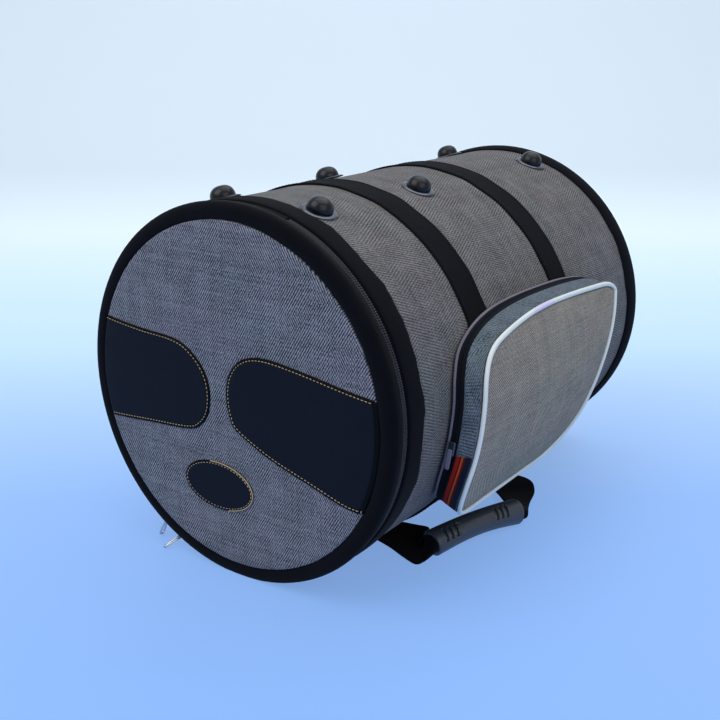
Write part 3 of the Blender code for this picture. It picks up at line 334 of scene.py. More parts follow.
# %% The woven cloth finish
def woven(name, light, dark, thread=0.00075, turn=0.0, slant=1.0, contrast=1.0):
    """Tone = rib (slanting sine of both thread counts) + round threads + thread shade + slow wear."""
    n = Nodes(name, roughness=0.9, sheen=0.04, specular=0.12)
    where = n.place(scale=(1 / thread, slant / thread, 1 / thread), turn=turn)
    split = n.add("SeparateXYZ", {0: where}).node
    across, along = split.outputs[0], split.outputs[1]
    columns, rows = n.math("FLOOR", across), n.math("FLOOR", along)
    over = n.math("LESS_THAN", n.math("FLOORED_MODULO", n.math("ADD", columns, rows), 4.0), 2.0)
    ridge_u = n.math("SINE", n.math("MULTIPLY", n.math("FRACT", across), math.pi))
    ridge_v = n.math("SINE", n.math("MULTIPLY", n.math("FRACT", along), math.pi))
    threads = n.add("Mix", {0: over, 2: ridge_u, 3: ridge_v}, data_type="FLOAT")
    shade_u = n.add("TexWhiteNoise", {"W": columns}, noise_dimensions="1D")
    shade_v = n.add("TexWhiteNoise", {"W": rows}, noise_dimensions="1D")
    thread_shade = n.add("Mix", {0: over, 2: shade_u, 3: shade_v}, data_type="FLOAT")
    first_rib = n.math("SINE", n.math("MULTIPLY", n.math("ADD", across, along), math.pi / 2))
    other_rib = n.math("SINE", n.math("MULTIPLY", n.math("SUBTRACT", across, along), math.pi / 2))
    patches = n.ramp(n.noise(n.place("Object"), 26.0, 2.0), ((0.40, (0.12, 0.12, 0.12)), (0.60, (0.88, 0.88, 0.88))))
    rib = n.add("Mix", {0: patches, 2: first_rib, 3: other_rib}, data_type="FLOAT")
    wear = n.noise(n.place("Object"), 60.0, 4.0)
    specks = n.noise(where, 0.45, 2.0)
    tone = n.math("ADD", n.math("MULTIPLY", rib, 0.34 * contrast), n.math("MULTIPLY", threads, 0.18))
    tone = n.math("ADD", tone, n.math("MULTIPLY", n.math("SUBTRACT", thread_shade, 0.5), 0.22 * contrast))
    tone = n.math("ADD", tone, n.math("MULTIPLY", n.math("SUBTRACT", specks, 0.5), 0.9 * contrast))
    tone = n.math("ADD", tone, n.math("MULTIPLY", n.math("SUBTRACT", wear, 0.5), 0.5))
    tone = n.math("ADD", tone, 0.36)
    middle = tuple(0.42 * a + 0.58 * b for a, b in zip(light, dark))
    colour = n.ramp(tone, ((0.0, dark), (0.5, middle), (1.0, light)))
    tint = n.mix(n.noise(n.place("Object"), 17.0, 3.0), (0.90, 1.05, 1.00, 1.0), (1.10, 0.96, 1.04, 1.0))
    colour = n.mix(1.0, colour, tint, "MULTIPLY")
    height = n.math("ADD", n.math("MULTIPLY", rib, 0.5), n.math("MULTIPLY", threads, 0.5))
    return n.finish(colour, n.bump(height, thread * 0.35, 0.8))


# %% [markdown]
# ## Webbing, binding and zip tape
#
# Webbing and binding tape are ribbed: fine ridges cross the tape. The ridges are a sine along the tape,
# broken up by a little noise so that they catch the light unevenly, and a fuzz of short fibres softens it.

# %% The ribbed black tapes
def ribbed(name, colour, rib=0.0016, roughness=0.9, fuzz=0.35, lift=3.0, cross=0.0, specular=0.04):
    """Height = sine along the tape (rib is its period) + fibre noise. cross adds a second, crossing rib."""
    n = Nodes(name, roughness=roughness, sheen=0.03, specular=specular)
    where = n.place()
    split = n.add("SeparateXYZ", {0: where}).node
    wave = n.math("SINE", n.math("MULTIPLY", split.outputs[0], math.tau / rib))
    if cross:
        other = n.math("SINE", n.math("MULTIPLY", split.outputs[1], math.tau / (rib * cross)))
        wave = n.math("MULTIPLY", n.math("ADD", wave, other), 0.6)
    fibres = n.noise(where, 2600.0, 2.0, 0.7)
    blotches = n.noise(n.place("Object"), 28.0, 3.0)
    height = n.math("ADD", wave, n.math("MULTIPLY", fibres, fuzz * 2))
    lighter = tuple(min(1.0, c * lift) for c in colour)
    colour = n.mix(n.math("MULTIPLY", n.math("MULTIPLY", fibres, blotches), 1.2), (*colour, 1.0), (*lighter, 1.0))
    return n.finish(colour, n.bump(height, rib * 0.08, 0.6))


# %% [markdown]
# ## Smooth and moulded finishes
#
# Leather has a fine pebbled grain (Voronoi cells a millimetre across) and creases; coated cloth is
# smoother with slow waves; moulded plastic has a fine spark texture. Metal is nickel plate with faint
# handling marks in its roughness.

# %% Leather, coated cloth, plastic, metal, foam
def grained(name, colour, second, grain=900.0, depth=0.00012, roughness=0.5, specular=0.5, rim=None):
    """Height = distance to the nearest grain cell + slow noise. rim is a painted shade colour, used where the piece's
    rim attribute says so.
    """
    n = Nodes(name, roughness=roughness, specular=specular)
    where = n.place("Object")
    cells = n.add("TexVoronoi", {"Vector": where, "Scale": grain}, feature="SMOOTH_F1")
    slow = n.noise(where, 40.0, 4.0)
    tone = n.mix(slow, (*colour, 1.0), (*second, 1.0))
    if rim:
        tone = n.mix(n.add("Attribute", output="Fac", attribute_name="rim"), tone, (*rim, 1.0))
    rough = n.math("ADD", n.math("MULTIPLY", slow, 0.25), roughness - 0.12)
    normal = n.bump(cells, depth, 0.8)
    return n.finish(tone, n.bump(slow, 0.0012, 0.35, normal), rough)


def plated(name, colour=(0.62, 0.63, 0.66), roughness=0.22):
    """Nickel plate: roughness = base + scratches of stretched noise."""
    n = Nodes(name, roughness=roughness, metallic=1.0)
    scratches = n.noise(n.place("Object", scale=(1, 1, 6)), 420.0, 4.0)
    marks = n.noise(n.place("Object"), 90.0, 3.0)
    tone = n.mix(marks, (*colour, 1.0), tuple(c * 0.72 for c in colour) + (1.0,))
    rough = n.math("ADD", n.math("MULTIPLY", scratches, 0.22), roughness - 0.06)
    return n.finish(tone, n.bump(scratches, 0.00005, 0.5), rough)


grey_cloth = woven("grey cloth", (0.235, 0.226, 0.222), (0.030, 0.029, 0.031), slant=0.42, thread=0.00066)
lid_cloth_finish = woven("lid cloth", (0.270, 0.282, 0.322), (0.016, 0.017, 0.023), slant=0.62, thread=0.00058,
                         contrast=1.8)
# Painted light: the pocket cloth's colours are partly its own lighter, warmer tone and partly raised to stand in for
# the light the floor throws up onto the pocket.
pocket_cloth = woven("pocket cloth", (0.425, 0.385, 0.309), (0.085, 0.076, 0.066), thread=0.0006, contrast=1.5)
gusset_cloth = woven("gusset cloth", (0.185, 0.235, 0.280), (0.018, 0.024, 0.030), turn=math.radians(20))
webbing = ribbed("black webbing", (0.0016, 0.0020, 0.0030), rib=0.0018, cross=0.9)
binding_tape = ribbed("black binding", (0.0018, 0.0021, 0.0034), rib=0.0010, lift=3.0, fuzz=0.8)
zip_nylon = ribbed("zip tape", (0.0028, 0.0034, 0.0058), rib=0.0009, lift=4.0)
coil_nylon = ribbed("zip coil", (0.0130, 0.0120, 0.0190), rib=0.0021, lift=2.0, specular=0.35, roughness=0.5)
# The navy leather's rim colour is painted shade, laid on the patches' grooved and raised edges.
leather = grained("navy leather", (0.0034, 0.0046, 0.0092), (0.0060, 0.0080, 0.0150), roughness=0.55,
                  specular=0.08, rim=(0.0012, 0.0014, 0.0022))
coated_cloth = grained("coated cloth", (0.0020, 0.0028, 0.0030), (0.0044, 0.0060, 0.0058), grain=1400.0,
                       depth=0.00005, roughness=0.6, specular=0.10)
moulded = grained("moulded grip", (0.022, 0.028, 0.038), (0.038, 0.045, 0.058), grain=1800.0, depth=0.00006,
                  roughness=0.38, specular=0.6)
gloss_black = grained("gloss black", (0.0020, 0.0026, 0.0050), (0.0034, 0.0044, 0.0080), grain=60.0, depth=0.00001,
                      roughness=0.24, specular=0.30)
nickel = plated("nickel plate")
dark_nickel = plated("dark nickel", (0.13, 0.14, 0.17), 0.26)
lining_cloth = woven("lining cloth", (0.030, 0.031, 0.036), (0.006, 0.006, 0.008), thread=0.0006, contrast=0.5)
piping_white = grained("white piping", (0.56, 0.61, 0.58), (0.68, 0.71, 0.70), grain=500.0, depth=0.00004,
                       roughness=0.6, specular=0.25)
cord_grey = ribbed("grey cord", (0.125, 0.118, 0.150), rib=0.0022, lift=1.8, fuzz=0.5, roughness=0.8)
joint_white = grained("piping joint", (0.50, 0.47, 0.62), (0.66, 0.62, 0.78), grain=500.0, depth=0.00004,
                      roughness=0.6, specular=0.25)
cord_grey_hard = grained("grey plastic", (0.135, 0.120, 0.165), (0.190, 0.170, 0.225), roughness=0.5,
                         specular=0.3)
thread_tan = grained("tan thread", (0.30, 0.22, 0.12), (0.44, 0.36, 0.24), grain=2500.0, depth=0.00008,
                     roughness=0.75, specular=0.2)
thread_black = grained("black thread", (0.0022, 0.0022, 0.0026), (0.0070, 0.0070, 0.0080), grain=2500.0,
                       depth=0.00008, roughness=0.8, specular=0.12)
print("finishes made:", len(bpy.data.materials))

# %% [markdown]
# ## The camera, the floor and the light
#
# The camera's place was worked out from the photograph: the ellipse of the lid and the run of the bands
# give its height, its turn and its lens. The floor is a pale blue sheet. Its far end looks brighter to the
# camera only, through Light Path, so that no more light falls on the bag. In the same way the camera sees
# the bag's shadow thinner than it is, because the photograph's shadow is very faint. The light is three
# large soft panels, as in a small product studio.

# %% Camera
eye = bpy.data.cameras.new("camera")
eye.lens = 52.50
eye.sensor_width = 36.0
eye.clip_start = 0.02
camera = bpy.data.objects.new("camera", eye)
bpy.context.scene.collection.objects.link(camera)
camera.location = (0.5503, -0.8286, 0.4499)
camera.rotation_euler = (math.radians(72.24), 0.0, math.radians(35.31))
bpy.context.scene.camera = camera
print("lens", eye.lens, "mm at", tuple(camera.location))


# %% Floor
def make_floor():
    """A wide flat sheet that curves up far behind: z = 0, then a quarter circle, then straight up."""
    bend, reach = 0.9, 2.4
    flat = np.stack([np.linspace(-4.0, reach, 24), np.zeros(24)], -1)
    turn = np.linspace(0, math.pi / 2, 17)[1:]
    curve = np.stack([reach + bend * np.sin(turn), bend - bend * np.cos(turn)], -1)
    wall = np.array([[reach + bend, height] for height in (1.6, 2.6, 4.0)])
    line = np.vstack([flat, curve, wall])
    across = np.linspace(-4.5, 4.5, 12)
    facing = camera.rotation_euler.z
    depth_way = np.array([-math.sin(facing), math.cos(facing)])
    side_way = np.array([math.cos(facing), math.sin(facing)])
    ground = line[:, None, :1] * depth_way + across[None, :, None] * side_way
    points = np.concatenate([ground, np.broadcast_to(line[:, None, 1:], ground.shape[:2] + (1,))], -1)
    mesh = grid_mesh("floor", points)
    mesh.shade_smooth()
    n = Nodes("pale blue table", roughness=0.5, specular=0.2)
    depth = n.add("SeparateXYZ", {0: n.place("Object", turn=-facing)}, output=1)
    share = n.math("MULTIPLY", n.math("ADD", depth, 1.0), 0.42)
    colour = n.ramp(share, ((0.0, (0.21, 0.41, 0.86)), (0.40, (0.28, 0.48, 0.90)), (0.62, (0.50, 0.70, 0.98)),
                            (1.0, (0.70, 0.84, 0.99))))
    glow = n.ramp(share, ((0.50, (0.0, 0.0, 0.0)), (0.72, (0.08, 0.09, 0.06)), (1.0, (0.20, 0.19, 0.13))))
    open_share = n.ramp(share, ((0.50, (0.62, 0.62, 0.62)), (0.72, (0.0, 0.0, 0.0))))
    glow = n.mix(1.0, glow, n.mix(1.0, colour, n.mix(1.0, open_share, (1.1, 1.1, 1.1, 1.0), "MULTIPLY"), "MULTIPLY"),
                 "ADD")
    ray = n.add("LightPath").node.outputs
    seen = n.math("MAXIMUM", ray["Is Camera Ray"], n.math("MAXIMUM", ray["Is Glossy Ray"], ray["Is Transmission Ray"]))
    n.tree.links.new(glow, n.shader.inputs["Emission Color"])
    n.tree.links.new(seen, n.shader.inputs["Emission Strength"])
    shaded = n.mix(1.0, colour, n.mix(1.0, (1.0, 1.0, 1.0, 1.0), open_share, "SUBTRACT"), "MULTIPLY")
    mesh.materials.append(n.finish(n.mix(seen, colour, shaded)))
    sheet = bpy.data.objects.new("floor", mesh)
    bpy.context.scene.collection.objects.link(sheet)


make_floor()


# %% Lamps
def soft_lamp(name, place, size, watts, colour=(1, 1, 1)):
    """A square soft lamp aimed at the middle of the bag."""
    lamp = bpy.data.lights.new(name, "AREA")
    lamp.size = size
    lamp.energy = watts
    lamp.color = colour
    holder = bpy.data.objects.new(name, lamp)
    bpy.context.scene.collection.objects.link(holder)
    holder.location = place
    aim = Vector((0.0, 0.0, 0.12)) - Vector(place)
    holder.rotation_euler = aim.to_track_quat("-Z", "Y").to_euler()


soft_lamp("key", (-0.7, -1.6, 2.0), 2.0, 30.0, (1.0, 0.98, 0.96))
soft_lamp("fill", (2.1, -0.9, 1.2), 2.0, 15.0, (0.94, 0.97, 1.0))
soft_lamp("top", (0.2, 0.5, 2.3), 2.4, 26.0, (0.98, 0.99, 1.0))
world = bpy.data.worlds.new("room")
bpy.context.scene.world = world
world.use_nodes = True
air = world.node_tree.nodes["Background"]
air.inputs["Color"].default_value = (0.88, 0.93, 1.0, 1.0)
air.inputs["Strength"].default_value = 0.55
bpy.context.scene.view_settings.view_transform = "Standard"
print("lamps:", len(bpy.data.lights))

# %% [markdown]
# ## The barrel
#
# The barrel is one wide strip of cloth sewn into a tube over foam. It lies slightly flat on the table and
# has slow waves where the foam pushes between the webbing bands. The radius gets a sum of low sine waves
# of about half a millimetre, which die away under each band and at both ends.

# %% Barrel cloth
BARREL_STEPS = 288


def waved_between_bands(radius, angle, y):
    """Radius + (waves - 0.3 mm) x calm x ends, only on the outer side. calm is 0 under a band, 1 between."""
    outer = radius > BARREL_RADIUS - 0.0006
    swell = waves(angle, y, 3, 0.00035)
    calm = np.ones_like(y)
    for band_y in BAND_YS:
        calm = calm * (1 - np.exp(-((y - band_y) / (BAND_WIDTH * 0.62)) ** 4))
    ends = np.clip((y - SHELL_START) / 0.02, 0, 1) * np.clip((SHELL_END - y) / 0.02, 0, 1)
    change = (swell - 0.0003) * calm * ends
    return np.where(outer, radius + np.minimum(change, 0.0006), radius), y


def make_barrel_cloth():
    """A closed ring: outer line, then back along the inside, carried round the axis."""
    outline = divided(((SHELL_INNER, SHELL_START), (BARREL_RADIUS, SHELL_START), (BARREL_RADIUS, SHELL_END),
                       (SHELL_INNER, SHELL_END)), 0.006)
    points, uv = turned(outline, BARREL_STEPS, waved_between_bands)
    mesh = grid_mesh("barrel_cloth", points, uv=uv, closed_u=True, closed_v=True)
    return make_piece("barrel_cloth", mesh, "bag", grey_cloth, ("barrel_shell",))


barrel_cloth = make_barrel_cloth()
print("barrel cloth:", len(barrel_cloth.data.polygons), "faces")

# %% [markdown]
# ## Padding and lining
#
# Inside the cloth is a layer of foam, faced with thin lining. They show only when the lid is open. The
# lining is stitched down in channels, so its radius swells between the seams: a sine of the angle.

# %% Barrel padding
PADDING_CHANNELS = 18


def channelled(radius, angle, y):
    """Inner radius - a rounded bump between stitched channels, fading out at both ends."""
    inner = radius < FOAM_INNER + 0.0002
    ends = np.clip((y + 0.205) / 0.03, 0, 1) * np.clip((0.218 - y) / 0.03, 0, 1)
    bump = np.abs(np.sin(angle * PADDING_CHANNELS / 2)) * 0.0012 * ends
    return np.where(inner, radius - bump + 0.0006, radius), y


def make_barrel_padding():
    """Foam and lining as one closed ring with a stepped seat for the zip tape."""
    step = 0.15555
    outline = divided(((LINING_INNER, -0.2099), (step, -0.2099), (step, -0.1960), (FOAM_OUTER, -0.1960),
                       (FOAM_OUTER, 0.2297), (LINING_INNER, 0.2297)), 0.012)
    points, uv = turned(outline, BARREL_STEPS // 2, channelled)
    points[..., 2] = np.maximum(points[..., 2], 0.0012)
    mesh = grid_mesh("barrel_padding", points, uv=uv, closed_u=True, closed_v=True)
    make_piece("barrel_padding", mesh, "bag", lining_cloth, ("barrel_foam", "barrel_lining"))


make_barrel_padding()
print("padding channels:", PADDING_CHANNELS)

# %% [markdown]
# ## Discs
#
# The base and the lid's layers are closed discs. A disc's outline starts and ends on the axis, so its two
# end columns are poles: `disc_mesh` gives each pole a very small ring and closes it with a cap.

# %% Discs
POLE = 0.0004


def disc_mesh(name, outline, steps, push=None):
    """A body turned from an open outline whose ends are on the axis. Its poles are closed by small caps."""
    outline = np.asarray(outline, float).copy()
    outline[0, 0] = outline[-1, 0] = POLE
    points, _ = turned(outline, steps, push, press=False)
    points = points.transpose(1, 0, 2)
    uv = np.stack([points[..., 0], points[..., 2] - AXIS_HEIGHT], -1)
    uv = np.concatenate([uv, uv[:, :1]], 1)
    return grid_mesh(name, points, uv=uv, closed_v=True, cap_ends=True)


def make_base():
    """The base: a cloth disc with a low crown inside the binding, and its padding behind it."""
    back = BASE_Y - 0.0018
    front = back - 0.0012
    edge = 0.1572
    crowned = [(r, back + 0.0010 * (1 - (r / 0.146) ** 4)) for r in np.linspace(0.146, 0.0, 40)]
    outline = [(r, front) for r in np.linspace(0.0, edge, 10)] + [(edge, back), (0.150, back)] + crowned

    def push(radius, angle, y):
        """Slight waves on the face that is seen."""
        return radius, y + np.where(y > back - 0.0002, waves(angle, radius, 5, 0.0002), 0)

    cloth = disc_mesh("base_cloth", outline, 144, push)
    make_piece("base_cloth", cloth, "bag", grey_cloth, ("base_panel",))
    foam_back, foam_front = front - 0.0003, front - 0.0003 - 0.0095
    rim = 0.1477
    spread = np.linspace(0.0, rim, 14)
    pad = [(r, foam_back) for r in spread] + [(r, foam_front - 0.0008 * (1 - (r / rim) ** 6)) for r in spread[::-1]]
    make_piece("base_padding", disc_mesh("base_padding", pad, 96), "bag", lining_cloth, ("base_foam", "base_lining"))


make_base()
print("base made")

# %% [markdown]
# ## The black rims
#
# Three soft black rings hold the bag together: the roll round the lid, the binding behind the zip and the
# binding round the base. Each is a smooth closed outline carried round the axis. Sewn tape never runs
# dead straight: its free edge drifts by a millimetre or two, with soft kinks every few centimetres.

# %% Rims
RIM_STEPS = 720
SEWN_WAVES = ((9, 0.5), (17, 0.7), (23, 1.0), (31, 0.45))
PUCKERS = ((7, 0.7), (13, 1.0), (19, 0.7), (31, 0.45), (67, 0.22), (97, 0.18))


def edge_wander(angle, seed, strength, parts=SEWN_WAVES):
    """Sum of sines with the given (turns round the bag, weight) pairs and seeded phases."""
    random = np.random.RandomState(seed)
    total = np.zeros_like(angle)
    for turns, weight in parts:
        total += weight * np.sin(turns * angle + random.uniform(0, math.tau))
    return strength * total


def make_rim(name, corners, node, material, wander=(), fuzz=0.0, parts=SEWN_WAVES):
    """A ring of smooth outline. wander lists (corner, seed, mm along y, mm along r) for loose edges."""
    corners = np.asarray(corners, float)
    per_side = 4
    outline = smooth_profile(corners, per_side)
    count = len(outline)
    places = np.arange(count)

    def push(radius, angle, y):
        """Move the corners that wander, and their neighbours less, then roughen the whole ring."""
        for corner, seed, along_y, along_r in wander:
            away = np.abs((places - corner * per_side + count / 2) % count - count / 2)
            share = np.clip(1 - away / (per_side * 1.6), 0, 1) ** 2
            moved = edge_wander(angle, seed, 0.001, parts) * share[None, :]
            y = y + moved * along_y
            radius = radius + moved * along_r
        if fuzz:
            random = np.random.RandomState(len(name))
            radius = radius + random.uniform(-fuzz, fuzz, radius.shape)
        return radius, y

    points, uv = turned(outline, RIM_STEPS, push)
    mesh = grid_mesh(name, points, uv=uv, closed_u=True, closed_v=True)
    body = "lid" if node.startswith("lid") else "bag"
    make_piece(name, mesh, body, material, (node,), smooth_angle=60)


make_rim("lid_roll_front", ((0.1472, -0.2338), (0.1488, -0.2350), (0.1530, -0.2358), (0.1574, -0.2348),
                            (0.1602, -0.2322), (0.1611, -0.2290), (0.1602, -0.2279), (0.1560, -0.2282),
                            (0.1512, -0.2300), (0.1506, -0.2333), (0.1485, -0.2335)),
         "lid_binding", binding_tape, wander=((0, 11, 0.0, 0.45), (2, 12, 0.15, 0.0)), fuzz=0.00010, parts=PUCKERS)
make_rim("lid_roll_side", ((0.1571, -0.2274), (0.1594, -0.2273), (0.1605, -0.2260), (0.1606, -0.2237),
                           (0.1597, -0.2217), (0.1583, -0.2212), (0.1571, -0.2213)),
         "lid_gusset", coated_cloth, wander=((4, 13, 0.2, 0.0),))
make_rim("mouth_edge", ((0.1571, -0.2134), (0.1588, -0.2135), (0.1602, -0.2122), (0.1606, -0.2070),
                        (0.1606, -0.2000), (0.1604, -0.1950), (0.1600, -0.1926), (0.1594, -0.1924),
                        (0.1594, -0.1952), (0.1585, -0.1962), (0.1571, -0.1964), (0.1571, -0.2050)),
         "mouth_binding", binding_tape,
         wander=((6, 21, 0.85, 0.0), (7, 21, 0.85, 0.0), (5, 21, 0.65, 0.0), (4, 21, 0.4, 0.0)), fuzz=0.00005,
         parts=PUCKERS)
make_rim("base_edge", ((0.1579, 0.2143), (0.1590, 0.2141), (0.1594, 0.2118), (0.1602, 0.2112), (0.1618, 0.2150),
                       (0.1628, 0.2200), (0.1629, 0.2265), (0.1616, 0.2310), (0.1590, 0.2330), (0.1562, 0.2334),
                       (0.1551, 0.2326), (0.1556, 0.2317), (0.1579, 0.2316), (0.1579, 0.2230)),
         "base_binding", binding_tape, wander=((2, 31, 0.6, 0.0), (3, 31, 0.6, 0.0), (10, 32, 0.0, 0.3)),
         fuzz=0.00005, parts=PUCKERS)
print("rims made:", RIM_STEPS, "steps round")

# %% [markdown]
# ## The main zip
#
# A coil zip is a nylon spiral sewn to a woven tape. Seen from outside it is a row of fine ridges. The coil
# here is a thin bar whose height rises and falls once for each turn of the spiral, which at this size
# looks the same as the spiral and needs far fewer faces.

# %% Zip coils and tapes
HINGE_HALF_ANGLE = math.radians(18.6)
COIL_PITCH, COIL_BEND = 0.0021, 0.158
coil_arc = (math.tau - 2 * HINGE_HALF_ANGLE) * COIL_BEND


def arc_outline(name, outline, steps, push=None):
    """An outline carried round the arc below the hinge, with both ends closed."""
    span = (HINGE_HALF_ANGLE, math.tau - HINGE_HALF_ANGLE)
    points, uv = turned(outline, steps, push, span=span)
    return grid_mesh(name, points, uv=uv, closed_v=True, cap_ends=True)


def make_coil(name, low_y, high_y, node, body):
    """Outer radius = base + depth x |sin(pi x arc / pitch)|, one rise for each turn of the coil."""
    middle = (low_y + high_y) / 2
    outline = ((0.15705, low_y), (0.15800, low_y), (0.15885, middle), (0.15800, high_y), (0.15705, high_y))
    steps = int(coil_arc / COIL_PITCH) * 4

    def ridged(radius, angle, y):
        """The outer points rise and fall with the turns. The inner ones stay."""
        rise = np.abs(np.sin(math.pi * angle * COIL_BEND / COIL_PITCH))
        return np.where(radius > 0.1572, radius - 0.0008 + 0.0009 * rise, radius), y

    mesh = arc_outline(name, outline, steps, ridged)
    make_piece(name, mesh, body, coil_nylon, (node,), smooth_angle=30)


make_coil("zip_coil_lid", -0.21865, -0.21680, "zip_teeth_lid", "lid")
make_coil("zip_coil_bag", -0.21580, -0.21395, "zip_teeth_barrel", "bag")
for name, low_y, high_y, node, body in (("zip_cloth_lid", -0.2251, -0.2171, "zip_tape_lid", "lid"),
                                        ("zip_cloth_bag", -0.2155, -0.2075, "zip_tape_barrel", "bag")):
    flat = divided(((0.15585, low_y), (0.15675, low_y), (0.15675, high_y), (0.15585, high_y)), 0.003)
    make_piece(name, arc_outline(name, flat, 240), body, zip_nylon, (node,))
print("coil turns:", int(coil_arc / COIL_PITCH))


# %% [markdown]
# ## The hinge
#
# At the top the zip stops and a short strip of cloth joins the lid to the barrel. It crosses the joint,
# so it rides on neither body and stays where it is made.

# %% Hinge cloth
def make_hinge_cloth():
    """A strip across the joint: a closed outline along y, carried round a short arc at the top."""
    half = math.radians(18.0)
    low_y, high_y = -0.2206, -0.2140
    outline = divided(((0.15712, low_y), (0.1588, low_y), (0.1588, high_y), (0.15712, high_y)), 0.0005)
    points, uv = turned(outline, 49, span=(-half, half))
    mesh = grid_mesh("hinge_cloth", points, uv=uv, closed_v=True, cap_ends=True)
    piece = make_piece("hinge_cloth", mesh, None, webbing, ("hinge_web_lid", "hinge_web_barrel"))
    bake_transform(piece)


make_hinge_cloth()
print("hinge made")

# %% [markdown]
# ## Outlines on the lid
#
# Three leather patches will be sewn on the lid. Their outlines come first, because the cloth is held flat
# under them: each is a smooth curve through points given as shares of the lid's radius, and the two side
# patches are closed by an arc of the lid's rim.

# %% Patch outlines
FACE_RADIUS = 0.1475
LEFT_PATCH_SHARES = ((-0.880, 0.335), (-0.650, 0.312), (-0.390, 0.295), (-0.260, 0.240), (-0.165, 0.140),
                     (-0.130, 0.020), (-0.150, -0.110), (-0.225, -0.200), (-0.330, -0.235),
                     (-0.620, -0.258), (-0.880, -0.280))
RIGHT_PATCH_SHARES = ((0.940, 0.205), (0.780, 0.228), (0.510, 0.270), (0.300, 0.292), (0.170, 0.280),
                      (0.072, 0.228), (0.012, 0.140), (-0.008, 0.035), (0.008, -0.080),
                      (0.060, -0.165), (0.290, -0.275), (0.575, -0.362), (0.780, -0.425), (0.880, -0.440))
OVAL_CENTRE = (-0.092 * FACE_RADIUS, -0.530 * FACE_RADIUS)
OVAL_HALF = (0.258 * FACE_RADIUS, 0.146 * FACE_RADIUS)
PATCH_THICKNESS = 0.0014
PATCH_RIM = 0.1477
FIRST_SHADED_RING = 15


def free_edge(shares):
    """The patch's inner edge as an open smooth curve, from where it leaves the rim to where it meets it."""
    corners = np.asarray(shares, float) * FACE_RADIUS
    first = corners[0] + (corners[0] - corners[1]) * 1.2
    last = corners[-1] + (corners[-1] - corners[-2]) * 1.2
    curve = smooth_profile(np.vstack([first, corners, last]), 14, closed=False)
    inside = np.hypot(curve[:, 0], curve[:, 1]) < PATCH_RIM
    return curve[np.flatnonzero(inside)[0]:np.flatnonzero(inside)[-1] + 1]


def even_steps(curve, step, closed=False):
    """The same curve cut into equal steps along its length."""
    if closed:
        curve = np.vstack([curve, curve[:1]])
    lengths = np.concatenate([[0], np.cumsum(np.linalg.norm(np.diff(curve, axis=0), axis=1))])
    count = max(3, int(round(lengths[-1] / step)))
    wanted = np.linspace(0, lengths[-1], count + 1)
    even = np.stack([np.interp(wanted, lengths, curve[:, k]) for k in range(curve.shape[1])], -1)
    return even[:-1] if closed else even


def with_rim_arc(edge):
    """Close the free edge with the arc of the lid's rim, going the short way round."""
    start = math.atan2(edge[-1, 1], edge[-1, 0])
    end = math.atan2(edge[0, 1], edge[0, 0])
    turn = (end - start + math.pi) % math.tau - math.pi
    angles = start + turn * np.linspace(0, 1, 40)[1:-1]
    arc = PATCH_RIM * np.stack([np.cos(angles), np.sin(angles)], -1)
    return np.vstack([edge, arc])


left_edge = free_edge(LEFT_PATCH_SHARES)
right_edge = free_edge(RIGHT_PATCH_SHARES)
oval_turns = np.linspace(0, math.tau, 96, endpoint=False)
oval_edge = np.stack([OVAL_CENTRE[0] + OVAL_HALF[0] * np.cos(oval_turns),
                      OVAL_CENTRE[1] + OVAL_HALF[1] * np.sin(oval_turns)], -1)
left_outline = with_rim_arc(left_edge)
right_outline = with_rim_arc(right_edge)
print("free edges:", len(left_edge), len(right_edge), len(oval_edge))


def under_patch(flat):
    """Which flat points lie inside a patch: a line from the point crosses the outline an odd number of times."""
    inside = np.zeros(len(flat), bool)
    for outline in (left_outline, right_outline, oval_edge):
        start, end = outline, np.roll(outline, -1, axis=0)
        x, z = flat[:, :1], flat[:, 1:]
        crosses = (start[:, 1] > z) != (end[:, 1] > z)
        share = (z - start[:, 1]) / np.where(crosses, end[:, 1] - start[:, 1], 1.0)
        left_of = x < start[:, 0] + share * (end[:, 0] - start[:, 0])
        inside |= (np.sum(crosses & left_of, axis=1) % 2).astype(bool)
    return inside

# %% [markdown]
# ## The lid's cloth
#
# The lid is a padded disc: cloth stretched over foam and held by the black roll round its edge. Cloth under
# slight tension puffs between its held edge and whatever is sewn on it. The disc is made of rings, and a
# short cloth simulation with a little pressure blows it up against its held rim and patches.

# %% Cloth simulation
def blown_up(piece, held, pressure, cap, frames=20):
    """Run Blender's Cloth on a piece with held points, then keep each point's move no longer than cap."""
    group = piece.vertex_groups.new(name="held")
    for index in np.flatnonzero(held).tolist():
        group.add([index], 1.0, "REPLACE")
    scene = bpy.context.scene
    count = len(piece.data.vertices)
    before = np.empty(count * 3)
    piece.data.vertices.foreach_get("co", before)
    cloth = piece.modifiers.new("Cloth", "CLOTH")
    cloth.settings.quality = 6
    cloth.settings.mass = 0.25
    cloth.settings.tension_stiffness = 12
    cloth.settings.compression_stiffness = 6
    cloth.settings.shear_stiffness = 5
    cloth.settings.bending_stiffness = 0.6
    cloth.settings.use_pressure = True
    cloth.settings.uniform_pressure_force = pressure
    cloth.settings.effector_weights.gravity = 0
    cloth.settings.vertex_group_mass = "held"
    cloth.point_cache.frame_start = 1
    cloth.point_cache.frame_end = frames
    for frame_number in range(1, frames + 1):
        scene.frame_set(frame_number)
    depsgraph = bpy.context.evaluated_depsgraph_get()
    after = np.empty(count * 3)
    piece.evaluated_get(depsgraph).data.vertices.foreach_get("co", after)
    piece.modifiers.remove(cloth)
    piece.vertex_groups.remove(group)
    scene.frame_set(1)
    move = (after - before).reshape(-1, 3)
    length = np.linalg.norm(move, axis=1, keepdims=True)
    move *= np.minimum(1.0, cap / np.maximum(length, 1e-9))
    piece.data.vertices.foreach_set("co", (before.reshape(-1, 3) + move).ravel())
    piece.data.update()
    print(piece.name, "moved by up to", round(float(length.max()) * 1000, 2), "mm, kept to", cap * 1000)


FACE_CROWN_Y = -0.2371


